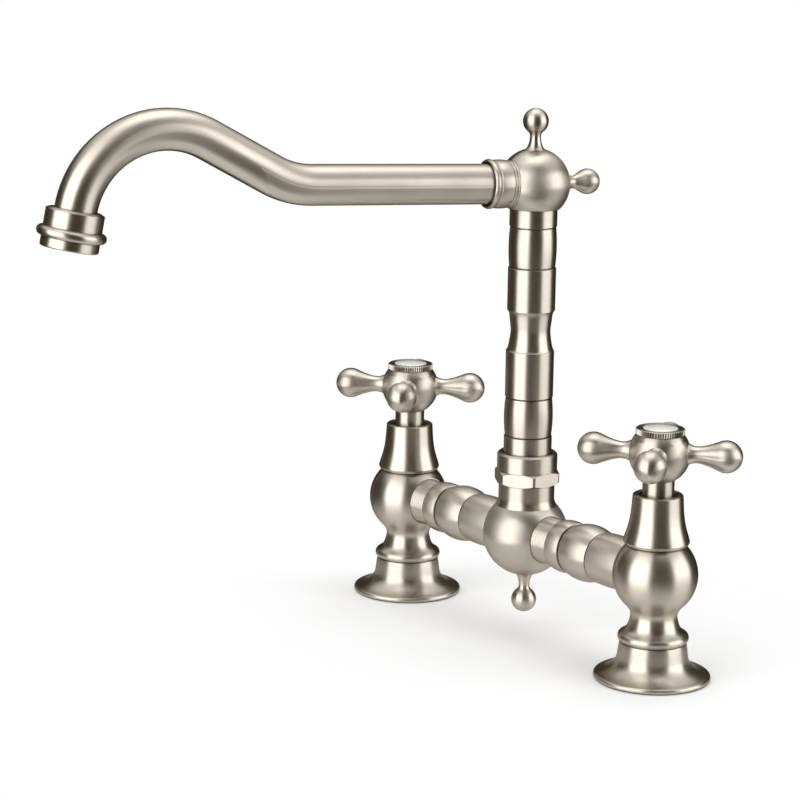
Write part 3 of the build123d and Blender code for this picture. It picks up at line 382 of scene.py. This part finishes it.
# -------------------------------------------------------------- shared node groups
def lathe_grain():
    """Fine lines round a turned piece, with slow changes of tone along them."""
    inputs = (
        ("Position", "NodeSocketVector"),
        ("Axis", "NodeSocketVector"),
        ("Centre", "NodeSocketVector"),
        ("Line Width", "NodeSocketFloat", 0.2 * MM),
    )
    outputs = (("Height", "NodeSocketFloat"), ("Tone", "NodeSocketFloat"))
    group, nodes, given, result = new_group("Lathe grain", inputs, outputs)
    reach = nodes.vector("SUBTRACT", given["Position"], given["Centre"])
    along = nodes.dot(reach, given["Axis"])
    outward = nodes.vector("SUBTRACT", reach, nodes.scale(given["Axis"], along))
    out = nodes.vector("LENGTH", outward, output="Value")
    heading = nodes.parts(nodes.vector("NORMALIZE", outward))
    skew = 1.3  # share of the heading's Z in each of the two numbers that stand for it
    turn_a = nodes.math("MULTIPLY_ADD", heading["Z"], skew, heading["X"])
    turn_b = nodes.math("MULTIPLY_ADD", heading["Z"], -skew, heading["Y"])

    def lines(width, streak):
        """Noise in lines of one width. Streak is how fast it changes on the way round."""
        spot = nodes.joined(
            X=nodes.math("DIVIDE", along, width),
            Y=nodes.math("DIVIDE", out, width),
            Z=nodes.math("MULTIPLY", turn_a, streak),
        )
        noise = nodes.add("ShaderNodeTexNoise", noise_dimensions="4D")
        values = {
            "Vector": spot,
            "W": nodes.math("MULTIPLY", turn_b, streak),
            "Scale": 1.0,
            "Detail": 2.0,
            "Roughness": 0.6,
        }
        return nodes.feed_all(noise, values).outputs["Fac"]

    width = given["Line Width"]
    broad_width = nodes.math("MULTIPLY", width, 7.0)
    fine = lines(width, streak=2.5)
    broad = lines(broad_width, streak=0.8)
    broad_share = 0.4
    nodes.feed(result["Height"], nodes.math("MULTIPLY_ADD", broad, broad_share, fine))
    nodes.feed(result["Tone"], nodes.remap(nodes.math("ADD", fine, broad), 0.5, 1.5, 0.0, 1.0))
    return group


def satin_grain():
    """Fine even grain and soft patches, for pieces that were brushed by hand."""
    inputs = (("Position", "NodeSocketVector"), ("Grain Size", "NodeSocketFloat", 0.3 * MM))
    outputs = (("Height", "NodeSocketFloat"), ("Tone", "NodeSocketFloat"))
    group, nodes, given, result = new_group("Satin grain", inputs, outputs)
    scaled = nodes.scale(given["Position"], nodes.math("DIVIDE", 1.0, given["Grain Size"]))
    fine = nodes.add("ShaderNodeTexNoise")
    nodes.feed_all(fine, {"Vector": scaled, "Scale": 1.0, "Detail": 2.0, "Roughness": 0.6})
    patches = nodes.add("ShaderNodeTexNoise")
    nodes.feed_all(patches, {"Vector": given["Position"], "Scale": 60.0, "Detail": 3.0})
    nodes.feed(result["Height"], fine.outputs["Fac"])
    both = nodes.math("ADD", fine.outputs["Fac"], patches.outputs["Fac"])
    nodes.feed(result["Tone"], nodes.remap(both, 0.7, 1.3, 0.0, 1.0))
    return group


def edge_wear_and_highlight():
    """Edges rounded by buffing: a rounded normal, and a mask that is 1 along the rubbed edges,
    which makes them smoother and carries a painted highlight on them.
    """
    inputs = (("Radius", "NodeSocketFloat", 0.3 * MM),)
    outputs = (("Edge", "NodeSocketFloat"), ("Soft Normal", "NodeSocketVector"))
    group, nodes, given, result = new_group("Edge wear and highlight", inputs, outputs)
    bevel = nodes.add("ShaderNodeBevel", samples=4)
    nodes.feed(bevel.inputs["Radius"], given["Radius"])
    surface = nodes.add("ShaderNodeNewGeometry")
    likeness = nodes.dot(bevel.outputs["Normal"], surface.outputs["Normal"])
    on_flat, on_worn_edge = 0.99, 0.85
    nodes.feed(result["Edge"], nodes.remap(likeness, on_flat, on_worn_edge, 0.0, 1.0))
    nodes.feed(result["Soft Normal"], bevel.outputs["Normal"])
    return group


def painted_groove_shade():
    """Mask of painted shade that is 1 deep in a joint or groove, where shade falls."""
    inputs = (
        ("Reach", "NodeSocketFloat", METAL_SHADE_REACH),
        ("Onset", "NodeSocketFloat", JOINT_ONSET),
    )
    outputs = (("Depth", "NodeSocketFloat"),)
    group, nodes, given, result = new_group("Painted groove shade", inputs, outputs)
    closeness = nodes.add("ShaderNodeAmbientOcclusion", samples=6)
    nodes.feed(closeness.inputs["Distance"], given["Reach"])
    onset = given["Onset"]
    full = nodes.math("SUBTRACT", onset, SHADE_SPAN)
    nodes.feed(result["Depth"], nodes.remap(closeness.outputs["AO"], onset, full, 0.0, 1.0))
    return group


def shared_group(build, name):
    """The named group, built the first time that a material asks for it."""
    return bpy.data.node_groups.get(name) or build()


# -------------------------------------------------------------------------- metals
def new_material(name, **constants):
    """Material with one Principled shader, its constant sockets set by name."""
    material = bpy.data.materials.new(name)
    material.use_nodes = True
    nodes = Nodes(material.node_tree)
    shader = material.node_tree.nodes["Principled BSDF"]
    for socket_name, value in constants.items():
        nodes.feed(shader.inputs[socket_name.replace("_", " ")], value)
    return material, nodes, shader


def object_position(nodes):
    return nodes.add("ShaderNodeTexCoord").outputs["Object"]


def satin_of(nodes, grain_size):
    """Outputs of the satin grain, placed by the piece's own position."""
    group = shared_group(satin_grain, "Satin grain")
    return nodes.place(group, Position=object_position(nodes), Grain_Size=grain_size).outputs


def across_lines(nodes, lines):
    """Direction on the surface that is square to the brushed lines, in world space."""
    normal = nodes.add("ShaderNodeTexCoord").outputs["Normal"]
    across = nodes.vector("NORMALIZE", nodes.vector("CROSS_PRODUCT", lines, normal))
    turned = nodes.add("ShaderNodeVectorTransform", vector_type="VECTOR")
    turned.convert_from = "OBJECT"
    turned.convert_to = "WORLD"
    nodes.feed(turned.inputs[0], across)
    return turned.outputs[0]


def lines_round(nodes, axis, centre):
    """Direction of the lines that a lathe leaves round one axis."""
    outward = nodes.vector("SUBTRACT", object_position(nodes), centre)
    return nodes.vector("CROSS_PRODUCT", axis, outward)


def tinted(colour, factor, lift=0.0):
    """The colour made lighter or darker, and kept within range."""
    return [min(1.0, factor * channel + lift) for channel in colour]


def add_bump(nodes, shader, height, distance, normal):
    bump = nodes.add("ShaderNodeBump")
    values = {"Height": height, "Normal": normal, "Strength": 1.0, "Distance": distance}
    nodes.feed(shader.inputs["Normal"], nodes.feed_all(bump, values).outputs["Normal"])


def finish_nickel(nodes, shader, settings, grain, across, edge_radius=None, onset=JOINT_ONSET):
    """Ties colour, roughness and bump of the nickel to its grain, edges and grooves, with painted
    shade in the grooves and a painted highlight on the edges.
    """
    rounding = settings.edge_radius if edge_radius is None else edge_radius
    wear = nodes.place(shared_group(edge_wear_and_highlight, "Edge wear and highlight"), Radius=rounding).outputs
    shade_group = shared_group(painted_groove_shade, "Painted groove shade")
    painted_shade = nodes.place(shade_group, Reach=METAL_SHADE_REACH, Onset=onset).outputs["Depth"]
    plain = nodes.mix(grain["Tone"], tinted(settings.colour, 0.93), settings.colour)
    # painted highlight: along the edges the colour is lifted a little; the smoother roughness
    # below is the real buffing
    edge_highlight_share = nodes.math("MULTIPLY", wear["Edge"], 0.5)
    edge_highlighted = nodes.mix(edge_highlight_share, plain, tinted(settings.colour, 1.12))
    # painted shade: deep in joints and grooves the colour turns to the dark shade colour
    nodes.feed(shader.inputs["Base Color"], nodes.mix(painted_shade, edge_highlighted, settings.shade))
    roughest = settings.roughness + 0.05
    smoothest = settings.roughness - 0.04
    satin = nodes.remap(grain["Tone"], 0.0, 1.0, roughest, smoothest)
    smoothing = nodes.math("MULTIPLY", wear["Edge"], -0.06)
    nodes.feed(shader.inputs["Roughness"], nodes.math("ADD", satin, smoothing))
    add_bump(nodes, shader, grain["Height"], settings.line_depth, wear["Soft Normal"])
    nodes.feed(shader.inputs["Tangent"], across)


def nickel_base(name, settings):
    """Material with the nickel's constant values, before its finish is added."""
    stretch = settings.stretch
    return new_material(name, Metallic=1.0, Anisotropic=stretch, Specular_Tint=GLARE_TINT)


def finish_turned(nodes, shader, settings, axis, centre, edge_radius=None, onset=JOINT_ONSET):
    """Finishes nickel whose brushed lines run round an axis, given as values or sockets."""
    grain = nodes.place(
        shared_group(lathe_grain, "Lathe grain"),
        Position=object_position(nodes),
        Axis=axis,
        Centre=centre,
        Line_Width=settings.line_width,
    )
    across = across_lines(nodes, lines_round(nodes, axis, centre))
    finish_nickel(nodes, shader, settings, grain.outputs, across, edge_radius, onset)


def turned_nickel(name, settings, axis, centre, edge_radius=None, onset=JOINT_ONSET):
    """Nickel on a piece that was brushed in a lathe, turning about one axis."""
    material, nodes, shader = nickel_base(name, settings)
    finish_turned(nodes, shader, settings, axis, centre, edge_radius, onset)
    return material


def upright_nickel(settings):
    """Nickel turned about the nearest of the three upright axes."""
    material, nodes, shader = nickel_base("nickel_turned_upright", settings)
    place_x = nodes.parts(object_position(nodes))["X"]
    nearest = nodes.math("SNAP", nodes.math("ADD", place_x, PILLAR_X / 2), PILLAR_X)
    finish_turned(nodes, shader, settings, UP, nodes.joined(X=nearest))
    return material


def middle_nickel(settings):
    """Nickel on the middle body: brushed round the bridge's axis below, upright on the neck."""
    material, nodes, shader = nickel_base("nickel_turned_middle", settings)
    height = nodes.dot(object_position(nodes), UP)
    on_neck = nodes.math("GREATER_THAN", height, NECK_START)
    axis = nodes.mix(on_neck, ALONG_BRIDGE, UP)
    finish_turned(nodes, shader, settings, axis, (0, 0, BRIDGE_Z))
    return material


def handle_nickel(name, settings, node, pivot):
    """Nickel on a cross handle: brushed round the hub, and round each arm beyond it."""
    material, nodes, shader = nickel_base(name, settings)
    from_pivot = nodes.vector("SUBTRACT", object_position(nodes), pivot)
    offset = nodes.parts(from_pivot)
    angle = nodes.math("ARCTAN2", offset["Y"], offset["X"])
    first_arm = arm_turn(node, pivot)
    quarter = math.pi / 2
    from_arm = nodes.math("SUBTRACT", angle, first_arm - quarter / 2)
    arm_angle = nodes.math("ADD", nodes.math("SNAP", from_arm, quarter), first_arm)
    arm_axis = nodes.joined(
        X=nodes.math("COSINE", arm_angle),
        Y=nodes.math("SINE", arm_angle),
    )
    level_offset = nodes.vector("MULTIPLY", from_pivot, (1, 1, 0))
    out = nodes.vector("LENGTH", level_offset, output="Value")
    on_arm = nodes.math("GREATER_THAN", out, HUB_RADIUS)
    axis = nodes.mix(on_arm, UP, arm_axis)
    finish_turned(nodes, shader, settings, axis, (pivot.x, pivot.y, middle_of(node).z))
    return material


def arm_turn(node, pivot):
    """Angle from +X of the handle's first arm, from the place of its farthest vertex."""
    mesh = frame["nodes"][node].data
    tip = max(mesh.vertices, key=lambda v: (v.co.xy - pivot.xy).length)
    away = tip.co.xy - pivot.xy
    return math.atan2(away.y, away.x) % (math.pi / 2)


def hump_centre():
    """Centre of the bend that ends at the outlet collar."""
    inward = DOWN_OUTLET.cross(SPOUT_SIDEWAYS)
    side = math.copysign(1, -inward.dot(ALONG_SPOUT))
    return middle_of("outlet_collar") + inward * side * HUMP_RADIUS


def tube_nickel(settings):
    """Nickel on the bent tube, whose brushing goes round it wherever it bends."""
    material, nodes, shader = nickel_base("nickel_bent_tube", settings)
    position = object_position(nodes)
    normal = nodes.add("ShaderNodeTexCoord").outputs["Normal"]
    straight_run = nodes.vector("CROSS_PRODUCT", SPOUT_SIDEWAYS, normal)
    from_hump = nodes.vector("SUBTRACT", position, hump_centre())
    hump_run = nodes.vector("CROSS_PRODUCT", SPOUT_SIDEWAYS, from_hump)
    hump_distance = nodes.vector("LENGTH", hump_run, output="Value")
    in_hump = nodes.math("LESS_THAN", hump_distance, HUMP_REACH)
    run = nodes.mix(in_hump, straight_run, nodes.vector("NORMALIZE", hump_run))
    across = across_lines(nodes, nodes.vector("CROSS_PRODUCT", run, normal))
    finish_nickel(nodes, shader, settings, satin_of(nodes, settings.line_width), across)
    return material


# --------------------------------------------- inner metals, rubber, plastic and glaze
def finish_inner(nodes, shader, grain_size, depth, colours, roughnesses):
    """Ties colour, roughness and bump of an inner piece to its grain and edges, with a painted
    highlight that lightens the edges.
    """
    dull, plain, edge_highlight_colour = colours
    roughest, smoothest = roughnesses
    grain = satin_of(nodes, grain_size)
    wear = nodes.place(shared_group(edge_wear_and_highlight, "Edge wear and highlight"), Radius=SMALL_EDGE_RADIUS).outputs
    toned = nodes.mix(grain["Tone"], dull, plain)
    # painted highlight: the colour turns lighter along the edges
    nodes.feed(shader.inputs["Base Color"], nodes.mix(wear["Edge"], toned, edge_highlight_colour))
    varied = nodes.remap(grain["Tone"], 0.0, 1.0, roughest, smoothest)
    nodes.feed(shader.inputs["Roughness"], varied)
    add_bump(nodes, shader, grain["Height"], depth, wear["Soft Normal"])


def plain_metal(name, colour, roughness, grain_size):
    """Machined metal of a piece that nobody sees once the tap is put together."""
    material, nodes, shader = new_material(name, Metallic=1.0)
    # the last colour is the painted highlight on the edges
    colours = (tinted(colour, 0.85), colour, tinted(colour, 1.15))
    roughnesses = (roughness + 0.06, roughness - 0.05)
    line_depth = 0.004 * MM
    finish_inner(nodes, shader, grain_size, line_depth, colours, roughnesses)
    return material


def matt_material(name, colour, roughness, grain_size, depth):
    """Fine-grained matt material for ceramic, rubber and plastic pieces."""
    material, nodes, shader = new_material(name)
    # the last colour is the painted highlight on the edges
    colours = (tinted(colour, 0.8), colour, tinted(colour, 1.2, lift=0.01))
    roughnesses = (roughness + 0.08, roughness - 0.08)
    finish_inner(nodes, shader, grain_size, depth, colours, roughnesses)
    return material


def glazed_porcelain(colour):
    """White glaze, slightly uneven, with painted shade in its hollows."""
    material, nodes, shader = new_material(
        "porcelain_glazed",
        Coat_Weight=0.6,
        Coat_Roughness=0.04,
        Specular_IOR_Level=0.5,
    )
    grain = satin_of(nodes, grain_size=1.2 * MM)
    shade_group = shared_group(painted_groove_shade, "Painted groove shade")
    painted_shade = nodes.place(shade_group, Reach=GLAZE_SHADE_REACH).outputs["Depth"]
    warm = (0.97 * colour[0], 0.95 * colour[1], 0.90 * colour[2])
    toned = nodes.mix(grain["Tone"], warm, colour)
    # painted shade: the glaze turns darker where ambient occlusion finds hollows
    nodes.feed(shader.inputs["Base Color"], nodes.mix(painted_shade, toned, GLAZE_GROOVE_SHADE))
    nodes.feed(shader.inputs["Roughness"], nodes.remap(grain["Tone"], 0.0, 1.0, 0.22, 0.12))
    wear = nodes.place(shared_group(edge_wear_and_highlight, "Edge wear and highlight"), Radius=GLAZE_EDGE_RADIUS).outputs
    ripple_depth = 0.01 * MM
    add_bump(nodes, shader, grain["Height"], ripple_depth, wear["Soft Normal"])
    return material


# ---------------------------------------------------------- which piece gets which
def cover(material, *names):
    """Gives a material to each named CAD node."""
    for name in names:
        node = frame["nodes"][name]
        for slot in node.material_slots:
            slot.material = material


def both_sides(*names):
    return [f"{side}_{name}" for side in SIDES for name in names]


def upright(context):
    """The upright nickel, shared by every piece that turns about an upright axis."""
    settings = context.scene.tap_nickel
    return bpy.data.materials.get("nickel_turned_upright") or upright_nickel(settings)


# ------------------------------------------------------------------------ operators
class TAP_OT_dress_pillars(bpy.types.Operator):
    """Brushed nickel on the feet, pillar bodies, bonnets and stem sleeves"""

    bl_idname = "tap.dress_pillars"
    bl_label = "Pillars"

    def execute(self, context):
        pieces = both_sides("foot", "pillar_body", "bonnet", "stem_sleeve")
        cover(upright(context), *pieces)
        return {"FINISHED"}


class TAP_OT_dress_bridge(bpy.types.Operator):
    """Brushed nickel on the bridge's arms, its middle body, the union nut and the lower finial"""

    bl_idname = "tap.dress_bridge"
    bl_label = "Bridge"

    def execute(self, context):
        settings = context.scene.tap_nickel
        centre = (0, 0, BRIDGE_Z)
        name = "nickel_turned_bridge"
        arms = turned_nickel(name, settings, ALONG_BRIDGE, centre, RIDGE_RADIUS, FINE_ONSET)
        cover(arms, *both_sides("bridge_arm"))
        cover(middle_nickel(settings), "middle_body")
        cover(upright(context), "union_nut", "lower_finial")
        return {"FINISHED"}


class TAP_OT_dress_handles(bpy.types.Operator):
    """Brushed nickel on the two cross handles, round each hub and each arm"""

    bl_idname = "tap.dress_handles"
    bl_label = "Cross handles"

    def execute(self, context):
        settings = context.scene.tap_nickel
        for side, pivot in HANDLE_PIVOTS.items():
            node = f"{side}_cross_handle"
            cover(handle_nickel(f"nickel_{side}_handle", settings, node, pivot), node)
        return {"FINISHED"}


class TAP_OT_dress_caps(bpy.types.Operator):
    """Knurled nickel rings and glazed index discs on the handles"""

    bl_idname = "tap.dress_caps"
    bl_label = "Caps"

    def execute(self, context):
        settings = context.scene.tap_nickel
        for side, pivot in HANDLE_PIVOTS.items():
            name = f"nickel_{side}_cap"
            nickel = turned_nickel(name, settings, UP, pivot, KNURL_RADIUS, FINE_ONSET)
            cover(nickel, f"{side}_cap_ring")
        cover(glazed_porcelain(context.scene.tap_small_parts.porcelain), *both_sides("index_disc"))
        return {"FINISHED"}


class TAP_OT_dress_riser(bpy.types.Operator):
    """Brushed nickel on the riser and the top finial"""

    bl_idname = "tap.dress_riser"
    bl_label = "Riser"

    def execute(self, context):
        cover(upright(context), "riser", "top_finial")
        return {"FINISHED"}


class TAP_OT_dress_spout(bpy.types.Operator):
    """Brushed nickel on the head, the spout's collar and tube, the side finial and the outlet"""

    bl_idname = "tap.dress_spout"
    bl_label = "Spout"

    def execute(self, context):
        settings = context.scene.tap_nickel
        head = (0, 0, HEAD_Z)
        level = turned_nickel("nickel_turned_spout", settings, ALONG_SPOUT, head)
        cover(level, "head_ball", "spout_collar", "side_finial")
        cover(tube_nickel(settings), "spout_tube")
        outlet = middle_of("aerator_shell")
        nickel = turned_nickel("nickel_turned_outlet", settings, DOWN_OUTLET, outlet)
        cover(nickel, "outlet_collar", "aerator_shell")
        return {"FINISHED"}


class TAP_OT_dress_inside(bpy.types.Operator):
    """Brass, steel, ceramic, rubber and plastic on the pieces inside the tap"""

    bl_idname = "tap.dress_inside"
    bl_label = "Inner pieces"

    def execute(self, context):
        colours = context.scene.tap_small_parts
        brass = plain_metal(
            "brass_machined",
            colours.brass,
            roughness=0.32,
            grain_size=0.3 * MM,
        )
        steel = plain_metal(
            "steel_spring",
            colours.steel,
            roughness=0.28,
            grain_size=0.2 * MM,
        )
        ceramic = matt_material(
            "ceramic_lapped",
            colours.ceramic,
            roughness=0.25,
            grain_size=0.15 * MM,
            depth=0.001 * MM,
        )
        rubber = matt_material(
            "rubber_moulded",
            colours.rubber,
            roughness=0.62,
            grain_size=0.12 * MM,
            depth=0.01 * MM,
        )
        plastic = matt_material(
            "plastic_moulded",
            colours.plastic,
            roughness=0.42,
            grain_size=0.25 * MM,
            depth=0.004 * MM,
        )
        cover(brass, *both_sides("valve_cartridge", "spindle"))
        cover(steel, *both_sides("spindle_clip", "handle_screw"))
        cover(ceramic, *both_sides("fixed_disc", "moving_disc"))
        cover(rubber, *both_sides("foot_gasket", "valve_seal", "spindle_o_rings", "arm_o_rings"))
        cover(rubber, "riser_o_rings", "aerator_washer")
        cover(plastic, "retainer_clip", "slip_washer", "aerator_insert")
        return {"FINISHED"}


class TAP_OT_set_stage(bpy.types.Operator):
    """Camera, pale floor, dark cards for the metal to mirror, soft lamps and white surroundings"""

    bl_idname = "tap.set_stage"
    bl_label = "Stage"

    def execute(self, context):
        settings = context.scene.tap_stage
        make_camera(context, settings)
        make_floor(settings)
        make_cards(settings)
        make_lamps(settings)
        make_surroundings(context)
        context.scene.view_settings.view_transform = "Standard"
        return {"FINISHED"}


# ---------------------------------------------------------------------------- stage
def looking(heading, pitch):
    """Unit vector of a line of sight."""
    level = Vector((math.cos(heading), math.sin(heading), 0))
    return level * math.cos(pitch) - UP * math.sin(pitch)


def make_camera(context, settings):
    sight = looking(settings.heading, settings.pitch)
    level_right = sight.cross(UP).normalized()
    level_down = sight.cross(level_right)
    right = level_right * math.cos(settings.roll) + level_down * math.sin(settings.roll)
    down = level_down * math.cos(settings.roll) - level_right * math.sin(settings.roll)
    data = bpy.data.cameras.new("camera")
    data.lens = settings.lens
    data.sensor_width = 36
    data.clip_start = 0.05
    data.clip_end = 60
    camera = bpy.data.objects.new("camera", data)
    turn = Matrix((right, -down, -sight)).transposed().to_4x4()
    eye = Vector(settings.aim) - sight * settings.distance
    camera.matrix_world = Matrix.Translation(eye) @ turn
    context.scene.collection.objects.link(camera)
    context.scene.camera = camera


def stage_mesh(name, corners, material):
    """Flat four-sided piece of the stage."""
    mesh = bpy.data.meshes.new(name)
    mesh.from_pydata(corners, [], [(0, 1, 2, 3)])
    mesh.materials.append(material)
    piece = bpy.data.objects.new(name, mesh)
    bpy.context.scene.collection.objects.link(piece)
    return piece


def make_floor(settings):
    """Pale floor under the tap, which fades out into the white surroundings."""
    material, nodes, shader = new_material("floor_pale", Base_Color=settings.floor, **DULL)
    clear = nodes.add("ShaderNodeBsdfTransparent")
    position = nodes.add("ShaderNodeNewGeometry").outputs["Position"]
    before_end = nodes.vector("MINIMUM", position, (PILLAR_X, 0, 0))
    nearest = nodes.vector("MAXIMUM", before_end, (-PILLAR_X, 0, 0))
    away = nodes.vector("DISTANCE", position, nearest, output="Value")
    blend = nodes.add("ShaderNodeMixShader")
    nodes.feed(blend.inputs["Fac"], nodes.remap(away, FADE_START, FADE_END, 0.0, 1.0))
    nodes.feed(blend.inputs[1], shader.outputs["BSDF"])
    nodes.feed(blend.inputs[2], clear.outputs["BSDF"])
    output = material.node_tree.nodes["Material Output"]
    nodes.feed(output.inputs["Surface"], blend.outputs["Shader"])
    signs = ((-1, -1), (1, -1), (1, 1), (-1, 1))
    corners = [(x * FLOOR_REACH, y * FLOOR_REACH, 0) for x, y in signs]
    stage_mesh("floor", corners, material)


def make_cards(settings):
    """Tall dark cards in front and behind. The camera doesn't see them, but the metal does."""
    material = new_material("card_dark", Base_Color=settings.card, **DULL)[0]
    toward_camera = settings.heading + math.pi
    bottom = -3.0
    cards = (  # name, turn from the line to the camera and width in degrees, top
        ("card_front", 14, 66, 4.5),
        ("card_back_right", 131, 58, 1.5),
        ("card_back", 190, 60, 1.5),
        ("card_back_left", -109, 58, 1.5),
    )
    for name, turn, width, top in cards:
        middle = toward_camera + math.radians(turn)
        half = math.radians(width / 2)
        near = looking(middle - half, 0) * CARD_DISTANCE
        far = looking(middle + half, 0) * CARD_DISTANCE
        corners = [near + UP * bottom, far + UP * bottom, far + UP * top, near + UP * top]
        card = stage_mesh(name, corners, material)
        card.visible_camera = False
        card.visible_shadow = False
        card.visible_diffuse = False


def make_lamp(name, heading, elevation, width, height, power):
    """Large soft lamp that faces the tap."""
    data = bpy.data.lights.new(name, "AREA")
    data.shape = "RECTANGLE"
    data.size = width
    data.size_y = height
    data.energy = power
    lamp = bpy.data.objects.new(name, data)
    sight = looking(heading + math.pi, elevation)
    lamp.location = LAMP_TARGET - sight * LAMP_DISTANCE
    lamp.rotation_mode = "QUATERNION"
    lamp.rotation_quaternion = sight.to_track_quat("-Z", "Y")
    bpy.context.scene.collection.objects.link(lamp)


def make_lamps(settings):
    """Soft boxes on the left, on the right and overhead, placed by the line to the camera."""
    toward_camera = settings.heading + math.pi
    lamps = (  # name, turn and elevation in degrees, width and height, watts
        ("lamp_left", -49, 12, 2.0, 2.4, 30),
        ("lamp_right", 74, 14, 1.8, 1.4, 15),
        ("lamp_top", 175, 80, 1.5, 1.5, 12),
    )
    for name, turn, elevation, width, height, power in lamps:
        heading = toward_camera + math.radians(turn)
        make_lamp(name, heading, math.radians(elevation), width, height, power)


def make_surroundings(context):
    """White to the camera, to mirrors and to glass, and a plain dimmer fill to the rest."""
    world = bpy.data.worlds.new("surroundings")
    context.scene.world = world
    world.use_nodes = True
    nodes = Nodes(world.node_tree)
    background = world.node_tree.nodes["Background"]
    path = nodes.add("ShaderNodeLightPath").outputs
    seen = nodes.math("ADD", path["Is Camera Ray"], path["Is Glossy Ray"])
    seen = nodes.math("ADD", seen, path["Is Transmission Ray"])
    strength = nodes.remap(seen, 0.0, 1.0, FILL_STRENGTH, 1.0)
    nodes.feed(background.inputs["Strength"], strength)
    nodes.feed(background.inputs["Color"], (1, 1, 1))


# ---------------------------------------------------------------------------- panel
OPERATORS = (
    TAP_OT_dress_pillars,
    TAP_OT_dress_bridge,
    TAP_OT_dress_handles,
    TAP_OT_dress_caps,
    TAP_OT_dress_riser,
    TAP_OT_dress_spout,
    TAP_OT_dress_inside,
    TAP_OT_set_stage,
)


class TAP_PT_panel(bpy.types.Panel):
    """Buttons for each group of pieces, and their settings"""

    bl_idname = "TAP_PT_panel"
    bl_label = "Bridge tap"
    bl_space_type = "VIEW_3D"
    bl_region_type = "UI"
    bl_category = "Tap"

    def draw(self, context):
        column = self.layout.column()
        for operator in OPERATORS:
            column.operator(operator.bl_idname)
        scene = context.scene
        for settings in (scene.tap_nickel, scene.tap_small_parts, scene.tap_stage):
            for name in settings.__annotations__:
                column.prop(settings, name)


SETTINGS = (NickelSettings, SmallPartSettings, StageSettings)
CLASSES = (*SETTINGS, *OPERATORS, TAP_PT_panel)


def register():
    for each in CLASSES:
        bpy.utils.register_class(each)
    bpy.types.Scene.tap_nickel = PointerProperty(type=NickelSettings)
    bpy.types.Scene.tap_small_parts = PointerProperty(type=SmallPartSettings)
    bpy.types.Scene.tap_stage = PointerProperty(type=StageSettings)


def unregister():
    del bpy.types.Scene.tap_stage
    del bpy.types.Scene.tap_small_parts
    del bpy.types.Scene.tap_nickel
    for each in reversed(CLASSES):
        bpy.utils.unregister_class(each)


def main():
    register()
    bpy.ops.tap.dress_pillars()
    bpy.ops.tap.dress_bridge()
    bpy.ops.tap.dress_handles()
    bpy.ops.tap.dress_caps()
    bpy.ops.tap.dress_riser()
    bpy.ops.tap.dress_spout()
    bpy.ops.tap.dress_inside()
    bpy.ops.tap.set_stage()


if __name__ == "__main__":
    main()
